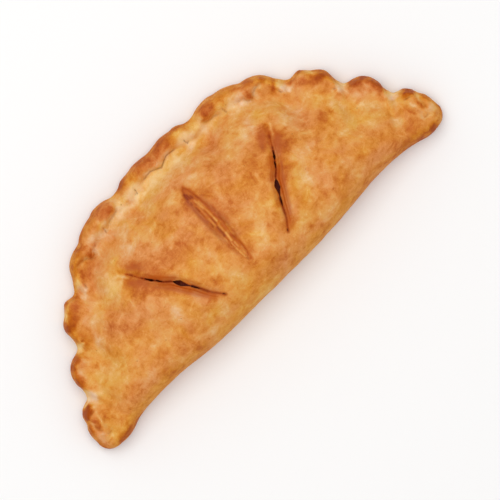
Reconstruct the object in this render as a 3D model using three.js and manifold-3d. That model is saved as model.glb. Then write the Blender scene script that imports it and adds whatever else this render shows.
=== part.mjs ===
// A baked calzone: a round of dough folded over its filling into a half-moon. The curved edge is crimped
// into a thick scalloped rim, the folded edge is round, and three steam slits fan across the dome down to
// the filling.
// Units are millimetres. X runs along the fold, Y from the fold to the crimped rim, Z up. The shape is laid
// out from the middle of the fold's line. The finished solids are then moved so that the origin is under
// the middle of their box, on the surface that the calzone rests on.
import * as THREE from "three";
import { mergeVertices } from "three/addons/utils/BufferGeometryUtils.js";
import Module from "manifold-3d";

const { clamp, degToRad, lerp, smoothstep } = THREE.MathUtils;
const wasm = await Module();
wasm.setup();

// ---- Driving dimensions ----

const TIP_REACH = 124.1; // from the middle of the fold to each blunt tip, as laid out
const TIP_ANGLE = 2; // degrees that the tips stand above the fold's line
const WIDTH = 97.6; // from the fold to the rim, across the middle
const DOME_HEIGHT = 42;
const TIP_HEIGHT = 5; // height of the outermost point of a tip
const TIP_WIDTH = 16; // a section narrower than this sinks towards the tip
const SPREAD = 0.9; // once it is laid out, each half is drawn this much further from the middle
const SPREAD_OVER = 10; // the dough this far on each side of the middle stretches for that
const NARROWING = 0.62; // power by which a section's height follows its width

// The thumb pinches that part the rim's scallops, from a tip to the middle. angle is seen from the middle
// of the fold, in degrees above its line, reach is the distance from there, press is how hard the thumb
// went down, and scallop is how far the rim bulges out before the next pinch.
const PINCHES = [
  { angle: TIP_ANGLE, reach: TIP_REACH, press: 0, scallop: 3.4 },
  { angle: 14.4, reach: 113.2, press: 0.9, scallop: 5.6 },
  { angle: 26.9, reach: 106.8, press: 1, scallop: 6 },
  { angle: 43, reach: 103.2, press: 1, scallop: 3.5 },
  { angle: 57.2, reach: 103.5, press: 0.35, scallop: 2.2 },
  { angle: 73.6, reach: 94.4, press: 0.6, scallop: 1.5 },
  { angle: 90, reach: 94.2, press: 0.2, scallop: 0 },
];
const SCALLOP_FULLNESS = 0.75; // a lower power makes the scallops blunter
const PRESS_DEPTH = 5.5;
const PRESS_HALF_WIDTH = 3.6; // along the rim
const PRESS_LENGTH = 8.5; // from the outline inwards
const PRESS_EDGE = 4; // from the outline to where a pinch has its full depth

// The rim is a roll of doubled dough. A crease parts it from the dome, and fades out towards the tips.
const RIM_HEIGHT = 15;
const RIM_CREST = 5.8; // from the outline to the roll's crest
const CREASE_IN = 12.4; // from the outline to the crease
const CREASE_DROP = 3.4; // from the crest down to the crease
const CREASE_ANGLES = [38, 50]; // where the crease starts, and where it has its full depth
const RIM_SHARE = 0.36; // the most of a section's width that the rim takes, where the tips narrow
const RIM_TOP_SHARE = 0.8; // and the most of its height
const OVAL = { long: 119, wide: 96 }; // the half-oval that the dome follows while the rim's scallops wander
const OVAL_ANGLES = [8, 24]; // where the dome starts to follow it, and where it does so wholly

// The folded edge, in the plan: it lies at FOLD_Y at its middle, bows in on each side, and comes out again
// at the heels of the tips. Each bow has its place along X, its half width and how far it goes.
const FOLD_Y = -2.3;
const FOLD_BOWS = [
  { middle: 79, halfWidth: 28.6, inwards: 3.4 },
  { middle: 110.5, halfWidth: 9, inwards: -2.3 },
];
const HEEL = 115; // where the fold starts to turn up into the tip
const FAN = 1.3; // how far the sections near the tips turn inwards, to meet the rim's scallops squarely

// The folded edge is round, with its widest point part of the way up the side.
const FOLD_ROUND = 0.27; // share of the section's width that is rounded
const FOLD_SIDE = 0.3; // height of the widest point, as a share of the dome's
const FOLD_SHOULDER = 0.85; // a lower power makes the rounding squarer
const RIM_SIDE = 0.4; // height of the rim's outermost point, as a share of the rim's
const FOLD_UNDERCUT = 11; // from the fold's widest point in to where the base lies flat
const RIM_UNDERCUT = 5; // the same at the rim
const UNDERCUT_SHARE = 0.3; // the most of a section's width that either takes
const DOME_RISE = 0.5; // share of the width over which the dome rises from the rim

const CRUST_THICKNESS = 6;

// The pocket is longest along the line Y = middle, and reaches from there to the fold and to the rim.
// around and stations are its facets, and a lower power of flatness makes its top and bottom flatter.
const POCKET = {
  halfLength: 101,
  middle: 22,
  toFold: 16,
  toRim: 55,
  flatness: 0.6,
  around: 20,
  stations: 32,
};
const CLEARANCE = 0.6; // between the filling and the crust
const SLIVER = 0.02; // edges that a cut leaves shorter than this are closed up
const WELD = 1e-4; // vertices nearer than this are one

// The puffed dough is uneven: slow swells, as turns per millimetre along X and Y, phase, and height.
const SWELLS = [
  { x: 0.011, y: 0.017, phase: 0.6, height: 0.9 },
  { x: -0.019, y: 0.012, phase: 2.1, height: 0.7 },
  { x: 0.027, y: 0.031, phase: 4.4, height: 0.45 },
  { x: 0.041, y: -0.023, phase: 1.2, height: 0.35 },
];
const SWELL_EDGE = 14; // from the edges to where the swells have their full height

// Steam slits, from the rim's end to the fold's end. open is the half width of the gap down to the filling,
// and the two flare values are how far each side of the cut slopes back at the surface: right is the side
// on the right when looking from the slit's rim end along it.
const SLITS = [
  { start: [0.2, 69], end: [-1.6, 17], open: 2.3, flareRight: 1.6, flareLeft: 1 },
  { start: [54.2, 62.6], end: [21.8, 13.6], open: 1.1, flareRight: 0.6, flareLeft: 3 },
  { start: [-54.2, 62.6], end: [-21.8, 13.6], open: 1.1, flareRight: 3, flareLeft: 0.6 },
];
const SLIT_FLARE_DEPTH = 4.5; // how deep the sloped sides reach
const SLIT_OVERSHOOT = 3; // the cutters reach this far above the surface
const SLIT_DEPTH = 14; // and this far below it, into the pocket
const SLIT_END = 0.06; // width at a slit's ends, as a share of its widest
const SLIT_FULLNESS = 0.8; // a lower power makes the lens-shaped slits blunter
const BLADE_STEPS = 22;

// Melted cheese has risen into the middle slit. root and belowSurface are depths under the dome's surface,
// topShare is the width left above the bevel, and trim is the share of the slit left free at each end.
const CHEESE_SLIT = SLITS[0];
const CHEESE_RIDGE = { root: 12, belowSurface: 2.2, bevel: 1.4, topShare: 0.45, trim: 0.05 };
const STEAM_HOLLOW = 6; // the filling has sunk this far under the open slits
const STEAM_HOLLOW_HALF_WIDTH = 7;
const STEAM_REACH = [12, 20]; // heights where the sinking starts, and where it is whole

// ---- The outline ----

// The pinch before an angle, the one after it, and the share of the way between them.
function between(angle) {
  const a = Math.min(angle, 180 - angle);
  const i = Math.max(1, PINCHES.findIndex((pinch) => pinch.angle >= a));
  const [from, to] = [PINCHES[i - 1], PINCHES[i]];
  return { from, to, share: clamp((a - from.angle) / (to.angle - from.angle), 0, 1) };
}

function rimPoint(angle) {
  const { from, to, share } = between(angle);
  const bulge = from.scallop * Math.sin(Math.PI * share) ** SCALLOP_FULLNESS;
  const reach = lerp(from.reach, to.reach, share) + bulge;
  const turn = degToRad(angle);
  return new THREE.Vector2(reach * Math.cos(turn), reach * Math.sin(turn));
}

const TIP = rimPoint(TIP_ANGLE);

function foldLine(x) {
  let y = FOLD_Y;
  for (const { middle, halfWidth, inwards } of FOLD_BOWS) {
    y += inwards * Math.exp(-(((Math.abs(x) - middle) / halfWidth) ** 2));
  }
  return y;
}

function foldPoint(angle) {
  const share = (Math.min(angle, 180 - angle) - TIP_ANGLE) / (90 - TIP_ANGLE);
  const fromTip = (1 - Math.exp(-FAN * share)) / (1 - Math.exp(-FAN));
  const x = TIP.x * (1 - fromTip) * (angle < 90 ? 1 : -1);
  const past = clamp((Math.abs(x) - HEEL) / (TIP.x - HEEL), 0, 1);
  if (past === 0) return new THREE.Vector2(x, foldLine(x));
  const heelY = foldLine(HEEL);
  return new THREE.Vector2(x, heelY + (TIP.y - heelY) * (1 - Math.sqrt(1 - past * past)));
}

// ---- Cross sections, each in the upright plane through a rim point and its fold point ----

function section(angle) {
  const rim = rimPoint(angle);
  const fold = foldPoint(angle);
  const width = Math.max(rim.distanceTo(fold), WELD); // at the tips the two meet
  const near = Math.min(angle, 180 - angle);
  const turn = degToRad(angle);
  const oval = 1 / Math.hypot(Math.cos(turn) / OVAL.long, Math.sin(turn) / OVAL.wide);
  const bulge = (rim.length() - oval) * smoothstep(near, ...OVAL_ANGLES);
  const height = DOME_HEIGHT * ((width - bulge) / WIDTH) ** NARROWING;
  const rimTop = Math.min(RIM_HEIGHT, RIM_TOP_SHARE * height);
  const creaseIn = Math.min(CREASE_IN, RIM_SHARE * width);
  return {
    angle,
    rim,
    fold,
    width,
    bulge,
    height,
    rimTop,
    creaseIn,
    crestIn: (creaseIn * RIM_CREST) / CREASE_IN,
    creaseTop: rimTop - CREASE_DROP * smoothstep(near, ...CREASE_ANGLES),
    taper: Math.sqrt(Math.min(1, width / TIP_WIDTH)),
  };
}

// How much a thumb pressed the rim down at a distance in from the outline.
function pressed(s, inwards) {
  let sum = 0;
  for (const { angle, reach, press } of PINCHES) {
    const along = degToRad(Math.min(s.angle, 180 - s.angle) - angle) * reach;
    sum += press * Math.exp(-((along / PRESS_HALF_WIDTH) ** 2));
  }
  return PRESS_DEPTH * sum * Math.exp(-((inwards / PRESS_LENGTH) ** 2));
}

const quarterRound = (share) => Math.sqrt(1 - (1 - clamp(share, 0, 1)) ** 2);

function swellsAt(point) {
  let z = 0;
  for (const s of SWELLS) z += s.height * Math.sin(2 * Math.PI * (s.x * point.x + s.y * point.y) + s.phase);
  return z;
}

const pointAcross = (s, inwards) => s.rim.clone().lerp(s.fold, s.width ? inwards / s.width : 0);

// Height of the top surface at a distance in from the outline.
function topAt(s, inwards) {
  const fromFold = s.width - inwards;
  const rimSide = RIM_SIDE * s.rimTop;
  const foldSide = FOLD_SIDE * s.height;
  let z;
  if (inwards < s.crestIn) {
    z = lerp(rimSide, s.rimTop, quarterRound(inwards / s.crestIn));
  } else if (inwards < s.creaseIn) {
    z = lerp(s.rimTop, s.creaseTop, smoothstep(inwards, s.crestIn, s.creaseIn));
  } else {
    const fromOval = inwards - s.bulge * smoothstep(inwards, s.creaseIn, 3 * s.creaseIn);
    const rise = clamp((fromOval - s.creaseIn) / (DOME_RISE * (s.width - s.bulge)), 0, 1);
    z = lerp(s.creaseTop, s.height, 1 - (1 - rise) ** 2);
  }
  const inside = smoothstep(Math.min(inwards, fromFold), 0, SWELL_EDGE);
  z += swellsAt(pointAcross(s, inwards)) * inside;
  z -= pressed(s, inwards) * quarterRound(inwards / PRESS_EDGE);
  z = lerp(foldSide, z, quarterRound(fromFold / (FOLD_ROUND * s.width)) ** FOLD_SHOULDER);
  return lerp(TIP_HEIGHT, z, s.taper);
}

function bottomAt(s, inwards) {
  const fromFold = s.width - inwards;
  const rimUnder = Math.min(RIM_UNDERCUT, UNDERCUT_SHARE * s.width);
  const foldUnder = Math.min(FOLD_UNDERCUT, UNDERCUT_SHARE * s.width);
  let z = 0;
  if (inwards < rimUnder) z = RIM_SIDE * s.rimTop * (1 - quarterRound(inwards / rimUnder));
  if (fromFold < foldUnder) z = FOLD_SIDE * s.height * (1 - quarterRound(fromFold / foldUnder));
  return TIP_HEIGHT * (1 - s.taper) + z * s.taper;
}

const ANGLE_STEP = 1e-6;

// The section that passes through a point, found by halving the range of angles.
function sectionThrough(x, y) {
  let [low, high] = [TIP_ANGLE, 180 - TIP_ANGLE];
  while (high - low > ANGLE_STEP) {
    const { rim, fold } = section((low + high) / 2);
    const side = (rim.x - fold.x) * (y - fold.y) - (rim.y - fold.y) * (x - fold.x);
    if (side > 0) low = (low + high) / 2;
    else high = (low + high) / 2;
  }
  return section((low + high) / 2);
}

function surfaceAt(x, y) {
  const s = sectionThrough(x, y);
  return topAt(s, s.rim.distanceTo(new THREE.Vector2(x, y)));
}

// ---- Solids ----

// Draws the two halves of a geometry apart.
function spread(geometry) {
  const position = geometry.getAttribute("position");
  for (let i = 0; i < position.count; i++) {
    const x = position.getX(i);
    const share = clamp(x / SPREAD_OVER, -1, 1);
    position.setX(i, x + SPREAD * Math.sin((Math.PI / 2) * share));
  }
  return geometry;
}

// Moves each vertex of a geometry to the place that the function gives for its point and its u and v.
function warped(geometry, place) {
  const position = geometry.getAttribute("position");
  const uv = geometry.getAttribute("uv");
  for (let i = 0; i < position.count; i++) {
    const point = new THREE.Vector3().fromBufferAttribute(position, i);
    const to = place({ point, u: uv.getX(i), v: 1 - uv.getY(i) });
    position.setXYZ(i, to.x, to.y, to.z);
  }
  return geometry;
}

function welded(geometry) {
  geometry.deleteAttribute("normal");
  geometry.deleteAttribute("uv");
  return mergeVertices(geometry, WELD);
}

function solidOf(geometry) {
  const merged = welded(geometry);
  return new wasm.Manifold(
    new wasm.Mesh({
      numProp: 3,
      vertProperties: merged.getAttribute("position").array,
      triVerts: new Uint32Array(merged.index.array),
    }),
  );
}

function geometryOf(solid) {
  const mesh = solid.getMesh();
  const geometry = new THREE.BufferGeometry();
  geometry.setAttribute("position", new THREE.BufferAttribute(mesh.vertProperties, mesh.numProp));
  geometry.setIndex(new THREE.BufferAttribute(mesh.triVerts, 1));
  return geometry;
}

// A loop round a section runs from the rim's edge over the top to the fold and back underneath. These are
// the share of the loop that is over the top, and the shares of that where the rim's crease and the fold's
// rounding come.
const OVER_TOP = 0.74;
const OVER_RIM = 0.34;
const OVER_DOME = 0.8;
const FOLD_STRETCH = 0.14; // share of the width that the last stretch over the top covers
const DOUGH_AROUND = 36;
const DOUGH_STATIONS = 112;
const CROWDING = 1.25; // above 1, the sections lie closer together towards the tips

function acrossTop(s, share) {
  if (share < OVER_RIM) return s.creaseIn * (1 - Math.cos((share / OVER_RIM) * (Math.PI / 2)));
  const stretch = FOLD_STRETCH * s.width;
  if (share < OVER_DOME) {
    return lerp(s.creaseIn, s.width - stretch, (share - OVER_RIM) / (OVER_DOME - OVER_RIM));
  }
  const turn = ((share - OVER_DOME) / (1 - OVER_DOME)) * (Math.PI / 2);
  return s.width - stretch * (1 - Math.sin(turn));
}

// The angle of the section at v, which runs from 0 at the right tip to 1 at the left one.
function stationAngle(v) {
  const near = lerp(TIP_ANGLE, 90, (2 * Math.min(v, 1 - v)) ** CROWDING);
  return v < 0.5 ? near : 180 - near;
}

// The whole calzone without its slits, as a globe whose poles are the two tips.
function doughBody() {
  return warped(new THREE.SphereGeometry(1, DOUGH_AROUND, DOUGH_STATIONS), ({ u, v }) => {
    const s = section(stationAngle(v));
    const over = u < OVER_TOP;
    const inwards = over
      ? acrossTop(s, u / OVER_TOP)
      : s.width * (0.5 + 0.5 * Math.cos(Math.PI * ((u - OVER_TOP) / (1 - OVER_TOP))));
    const p = pointAcross(s, inwards);
    return new THREE.Vector3(p.x, p.y, over ? topAt(s, inwards) : bottomAt(s, inwards));
  });
}

const signedPower = (value, power) => Math.sign(value) * Math.abs(value) ** power;

// The room inside the crust, as a globe that is long from tip to tip, with a flattish top and bottom.
function pocketBody() {
  return warped(new THREE.SphereGeometry(1, POCKET.around, POCKET.stations), ({ u, v }) => {
    const taper = Math.sin(Math.PI * v);
    const turn = 2 * Math.PI * u;
    const side = Math.cos(turn);
    const reach = side > 0 ? POCKET.toRim * taper : POCKET.toFold * taper ** POCKET.flatness;
    const x = POCKET.halfLength * Math.cos(Math.PI * v);
    const y = POCKET.middle + side * reach;
    const roof = surfaceAt(x, y) - CRUST_THICKNESS;
    const half = (roof - CRUST_THICKNESS) / 2;
    const lift = signedPower(Math.sin(turn), POCKET.flatness) * taper ** POCKET.flatness;
    return new THREE.Vector3(x, y, CRUST_THICKNESS + half * (1 + lift));
  });
}

// The filling: the pocket drawn in all round by the clearance, and sunk under the open slits.
function fillingBody() {
  const body = welded(pocketBody());
  body.computeVertexNormals();
  const position = body.getAttribute("position");
  const normal = body.getAttribute("normal");
  for (let i = 0; i < position.count; i++) {
    const p = new THREE.Vector3().fromBufferAttribute(position, i);
    p.addScaledVector(new THREE.Vector3().fromBufferAttribute(normal, i), -CLEARANCE);
    p.z -= steamHollow(p.x, p.y) * smoothstep(p.z, ...STEAM_REACH);
    position.setXYZ(i, p.x, p.y, p.z);
  }
  return body;
}

// A blade along a slit. levels gives, from the bottom up, the height above the dome's surface and the half
// widths on the left and right at the slit's widest. trim is the share left off at each end.
function blade(slit, levels, trim = 0) {
  const start = new THREE.Vector2(...slit.start);
  const along = new THREE.Vector2(...slit.end).sub(start);
  const left = new THREE.Vector2(-along.y, along.x).normalize();
  const box = new THREE.BoxGeometry(1, 1, 1, BLADE_STEPS, 1, levels.length - 1);
  return warped(box, ({ point }) => {
    const share = lerp(trim, 1 - trim, point.x + 0.5);
    const level = levels[Math.round((point.z + 0.5) * (levels.length - 1))];
    const lens = Math.max(SLIT_END, Math.sin(Math.PI * share) ** SLIT_FULLNESS);
    const sideways = point.y > 0 ? level.left : -level.right;
    const at = start.clone().addScaledVector(along, share);
    const z = surfaceAt(at.x, at.y) + level.height;
    at.addScaledVector(left, sideways * lens);
    return new THREE.Vector3(at.x, at.y, z);
  });
}

function slitCutter({ start, end, open, flareLeft, flareRight }) {
  const reach = SLIT_FLARE_DEPTH;
  const above = 1 + SLIT_OVERSHOOT / reach;
  return blade({ start, end }, [
    { height: -SLIT_DEPTH, left: open, right: open },
    { height: -reach, left: open, right: open },
    { height: 0, left: open + flareLeft, right: open + flareRight },
    { height: SLIT_OVERSHOOT, left: open + above * flareLeft, right: open + above * flareRight },
  ]);
}

// The cheese that fills a slit, rooted in the filling below, with bevelled top edges.
function cheeseRidge(slit) {
  const { root, belowSurface, bevel, topShare, trim } = CHEESE_RIDGE;
  const half = slit.open - CLEARANCE;
  return blade(
    slit,
    [
      { height: -root, left: half, right: half },
      { height: -belowSurface - bevel, left: half, right: half },
      { height: -belowSurface, left: topShare * half, right: topShare * half },
    ],
    trim,
  );
}

// The filling has sunk away from the crust under each slit that stands open.
function steamHollow(x, y) {
  let depth = 0;
  for (const slit of SLITS.filter((each) => each !== CHEESE_SLIT)) {
    const line = new THREE.Line3(
      new THREE.Vector3(...slit.start, 0),
      new THREE.Vector3(...slit.end, 0),
    );
    const here = new THREE.Vector3(x, y, 0);
    const away = line.closestPointToPoint(here, true, new THREE.Vector3()).distanceTo(here);
    depth += STEAM_HOLLOW * Math.exp(-((away / STEAM_HOLLOW_HALF_WIDTH) ** 2));
  }
  return depth;
}

// ---- The calzone ----

let crustSolid = solidOf(doughBody()).subtract(solidOf(pocketBody()));
for (const slit of SLITS) crustSolid = crustSolid.subtract(solidOf(slitCutter(slit)));

const fillingSolid = solidOf(fillingBody()).add(solidOf(cheeseRidge(CHEESE_SLIT)));

const crust = new THREE.Mesh(
  spread(geometryOf(crustSolid.simplify(SLIVER))),
  new THREE.MeshStandardMaterial({ color: 0xdb9149, roughness: 0.62, metalness: 0 }),
);
crust.name = "crust";

const filling = new THREE.Mesh(
  spread(geometryOf(fillingSolid.simplify(SLIVER))),
  new THREE.MeshStandardMaterial({ color: 0xc8792f, roughness: 0.35, metalness: 0 }),
);
filling.name = "filling";

const box = new THREE.Box3().setFromBufferAttribute(crust.geometry.getAttribute("position"));
const middle = box.getCenter(new THREE.Vector3());
const calzone = new THREE.Group();
calzone.add(crust, filling);
for (const mesh of calzone.children) mesh.position.set(-middle.x, -middle.y, -box.min.z);

export default calzone;
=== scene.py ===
import math
import random
from types import SimpleNamespace

import bpy
import numpy as np
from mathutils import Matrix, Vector, noise


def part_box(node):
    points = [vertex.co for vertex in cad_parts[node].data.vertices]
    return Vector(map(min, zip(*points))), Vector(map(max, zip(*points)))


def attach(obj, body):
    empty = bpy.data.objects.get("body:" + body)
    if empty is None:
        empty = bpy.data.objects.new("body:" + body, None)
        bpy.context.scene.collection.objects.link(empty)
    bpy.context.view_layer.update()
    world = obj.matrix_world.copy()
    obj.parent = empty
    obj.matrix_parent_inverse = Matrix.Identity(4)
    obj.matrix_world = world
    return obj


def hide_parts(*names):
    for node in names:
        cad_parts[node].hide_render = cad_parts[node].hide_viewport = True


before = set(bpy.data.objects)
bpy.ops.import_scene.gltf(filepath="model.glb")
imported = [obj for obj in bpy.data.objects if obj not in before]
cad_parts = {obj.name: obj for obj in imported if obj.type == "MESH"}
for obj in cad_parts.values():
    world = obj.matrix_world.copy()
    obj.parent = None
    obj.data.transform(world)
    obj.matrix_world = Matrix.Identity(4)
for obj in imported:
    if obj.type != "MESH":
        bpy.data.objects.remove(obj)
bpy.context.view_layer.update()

# ---- Crust: the body of the dough ----
# A round of wheat dough, folded over its filling, its open edge rolled and pinched by hand into a scalloped
# rim, and baked golden on a stone. The fold is round and puffed, the dome is uneven, and the base is flat.
# Sizes are millimetres, laid out from the middle of the fold's line: X along the fold, Y to the rim, Z up.

low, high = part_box("crust")
LENGTH = 250.3  # tip to tip
MM = (high.x - low.x) / LENGTH
RIM_FRONT = 95.15  # from the fold's line to the rim's farthest point
LAYOUT_Y = RIM_FRONT - high.y / MM  # the layout's Y at the frame's origin

DOME_HEIGHT = 42
WIDTH = 97.6  # of the section through the middle, where the dome is highest
NARROWING = 0.62  # the dome's height follows the width to this power
TIP_ANGLE = 2  # degrees, seen from the middle: the last section before a tip
TIP_HEIGHT = 5
TIP_WIDTH = 16  # narrower sections shrink to the tip
# The rim's outline from a tip to the middle, for the right half; the left half mirrors it.
RIM = [
    (124.1, 4.3), (124, 8), (123.7, 11.5), (122.9, 14), (121.5, 16), (120.5, 18.5), (119.9, 20.3),
    (118.5, 22.1), (116.6, 23.7), (114.5, 24.4), (112, 25.3), (110.9, 27), (110.3, 29), (110, 31.2),
    (110.4, 34.5), (110, 37), (109.1, 39.8), (107.4, 42.4), (105, 44.5), (102.5, 45.6), (100, 46.2),
    (97.4, 47.3), (96, 49.8), (95.4, 52), (95.2, 55), (95.2, 57.8), (94.4, 60), (92.5, 62.2), (90, 64),
    (86.6, 67.6), (85, 69.1), (82.6, 69.2), (80, 68.8), (78, 69.2), (76.4, 70.5), (75, 72.4), (73, 75.2),
    (71.6, 78), (70, 80.4), (67.5, 82.8), (65, 84.2), (62.5, 85.2), (60, 85.7), (58.4, 86.1), (55.5, 87.9),
    (53, 89), (50, 90.2), (47.5, 90.9), (44, 91.7), (41, 92.7), (38, 92.8), (35, 92.6), (32, 92),
    (30, 91.3), (27.5, 90.9), (25, 91.2), (22.5, 92), (20.5, 93.3), (18, 94), (15, 94.2), (12, 94.7),
    (8.5, 95.1), (5, 94.8), (2, 94.4), (0, 94.2),
]
RIM_ANGLE = np.degrees(np.arctan2(*np.array(RIM).T[::-1]))
RIM_REACH = np.hypot(*np.array(RIM).T)
# Where a thumb pressed the rim flat between two scallops: the angle seen from the middle, and how hard.
PINCHES = [(13.2, 0.9), (26.4, 1), (42.4, 1), (57, 0.3), (73.2, 0.7), (90, 0.2)]
# Dough puffed up along the rim: place, half widths, turn in degrees where there is one, and height.
KNOBS = [
    (6.6, 90.4, 5.6, 4.2, 2.2), (18.6, 90, 4.2, 3.6, 1.5), (36.6, 88, 5.6, 4.8, -10, 2.7),
    (47, 87.2, 4, 3, -20, 1.3), (60.4, 82.4, 5.4, 4.4, -30, 2.6), (68, 79.4, 4, 3.6, -50, 1.5),
    (81, 66.6, 6, 3, 1.9), (91, 59.4, 4.2, 4.4, 30, 2.4), (94, 53, 2.4, 3.6, 10, 1),
    (102, 43, 5.2, 3.4, -15, 2.6), (108, 35.4, 2.6, 5.4, 10, 1.9), (116.4, 20.8, 4, 3, -40, 2.4),
    (117.4, 12.4, 1.5, 4, 8, 1), (111.4, 13.2, 1.5, 3.6, 8, 0.7), (121.6, 12, 1.3, 2.6, 8, 0.6),
    (119, 2.6, 3, 1.2, 0.6), (88.6, 64, 1, 3.4, 40, 0.8), (22.3, 88.4, 1, 3, -5, 0.5),
    (27, 86.6, 1, 4, 0.6),
]
PRESS_DEPTH = 5.5
PRESS_HALF_WIDTH = 3.6
PRESS_LENGTH = 8.5
RIM_HEIGHT = 15
RIM_OF_DOME = 0.8  # the rim is at most this share of the dome's height
RIM_CREST = 5.8  # in from the outline
CREASE_IN = 12.4  # in from the outline
CREASE_DROP = 3.4  # the crease inside the rim, below the rim's crest
CREASE_ANGLES = (38, 50)  # degrees from a tip, between which that crease deepens
RIM_SHARE = 0.36  # the rim is at most this share of the width
OVAL = (119, 96)  # half widths of the dome's own oval, past which the scallops bulge
BULGE_ANGLES = (8, 24)  # degrees from a tip, between which the scallops come to stand out from the dome
FOLD_Y = -2.3
FOLD_BOWS = [(79, 28.6, 3.4), (110.5, 9, -2.3)]  # place, half width and depth
HEEL = 115  # from here the fold turns in to the tip
FAN = 1.3  # how far the sections near the tips turn inwards, to meet the rim's scallops squarely
FOLD_ROUND = 0.27  # share of the width that the fold's round takes
FOLD_SIDE = 0.3  # share of the height at which the fold stands out farthest
FOLD_UNDERCUT = 11
RIM_UNDERCUT = 5
UNDERCUT_SHARE = 0.3  # either is at most this share of the width
RIM_SIDE = 0.4  # share of the rim's height at which the rim stands out farthest
SOFT_RISE = 0.28  # how softly the dome rises from the crease
# Slow swells of the dome: waves for each millimetre along X and Y, phase, height.
SWELLS = [
    (0.011, 0.017, 0.6, 0.9), (-0.019, 0.012, 2.1, 0.7), (0.027, 0.031, 4.4, 0.45),
    (0.041, -0.023, 1.2, 0.35),
]
SWELLS_IN = 14  # from the outline, where the swells are full


def ease(value, start, end):
    """0 before start, 1 after end, smooth between."""
    t = np.clip((value - start) / (end - start), 0, 1)
    return t * t * (3 - 2 * t)


def quarter_round(share):
    """A quarter circle's height, from 0 at the share 0 to 1 at the share 1."""
    return np.sqrt(1 - (1 - np.clip(share, 0, 1)) ** 2)


def smooth_between(value, places, heights):
    """A smooth curve through heights at rising places."""
    slopes = np.gradient(heights, places)
    gap = np.clip(np.searchsorted(places, value) - 1, 0, len(places) - 2)
    step = places[gap + 1] - places[gap]
    t = np.clip((value - places[gap]) / step, 0, 1)
    start = heights[gap] * (1 + 2 * t) * (1 - t) ** 2 + step * slopes[gap] * t * (1 - t) ** 2
    return start + heights[gap + 1] * t * t * (3 - 2 * t) + step * slopes[gap + 1] * t * t * (t - 1)


def rim_line(angle):
    """The rim's outermost point at an angle in degrees, seen from the middle."""
    reach = smooth_between(np.minimum(angle, 180 - angle), RIM_ANGLE, RIM_REACH)
    turn = np.radians(angle)
    return reach * np.cos(turn), reach * np.sin(turn)


def fold_y(x):
    y = FOLD_Y
    for middle, half_width, inwards in FOLD_BOWS:
        y = y + inwards * np.exp(-(((abs(x) - middle) / half_width) ** 2))
    return y


TIP_X, TIP_Y = (float(value) for value in rim_line(np.array(float(TIP_ANGLE))))


def fold_line(angle):
    """The fold's outermost point on the section that starts at an angle of the rim."""
    share = (np.minimum(angle, 180 - angle) - TIP_ANGLE) / (90 - TIP_ANGLE)
    from_tip = (1 - np.exp(-FAN * share)) / (1 - math.exp(-FAN))
    x = TIP_X * (1 - from_tip) * np.where(angle < 90, 1, -1)
    past = np.clip((abs(x) - HEEL) / (TIP_X - HEEL), 0, 1)
    turned = fold_y(HEEL) + (TIP_Y - fold_y(HEEL)) * (1 - np.sqrt(1 - past**2))
    return x, np.where(past > 0, turned, fold_y(x))


def section(angle):
    """The upright cut through the dough from a rim point to its fold point."""
    rim_x, rim_y = rim_line(angle)
    fold_x, fold_at = fold_line(angle)
    near = np.minimum(angle, 180 - angle)
    width = np.hypot(rim_x - fold_x, rim_y - fold_at)
    turn = np.radians(angle)
    oval = 1 / np.hypot(np.cos(turn) / OVAL[0], np.sin(turn) / OVAL[1])
    bulge = (np.hypot(rim_x, rim_y) - oval) * ease(near, *BULGE_ANGLES)
    height = DOME_HEIGHT * ((width - bulge) / WIDTH).clip(0) ** NARROWING
    rim_top = np.minimum(RIM_HEIGHT, RIM_OF_DOME * height)
    crease_in = np.minimum(CREASE_IN, RIM_SHARE * width)
    return SimpleNamespace(
        near=near,
        reach=np.hypot(rim_x, rim_y),
        rim=(rim_x, rim_y),
        fold=(fold_x, fold_at),
        width=width,
        bulge=bulge,
        height=height,
        rim_top=rim_top,
        crease_in=crease_in,
        crest_in=crease_in * RIM_CREST / CREASE_IN,
        crease_top=rim_top - CREASE_DROP * ease(near, *CREASE_ANGLES),
        taper=np.sqrt(np.minimum(1, width / TIP_WIDTH)),
    )


def point_across(s, inwards):
    """The plan's point at a distance in from the outline."""
    share = np.where(s.width > 0, inwards / np.maximum(s.width, 1e-6), 0)
    x = s.rim[0] + (s.fold[0] - s.rim[0]) * share
    y = s.rim[1] + (s.fold[1] - s.rim[1]) * share
    return x, y


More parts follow.
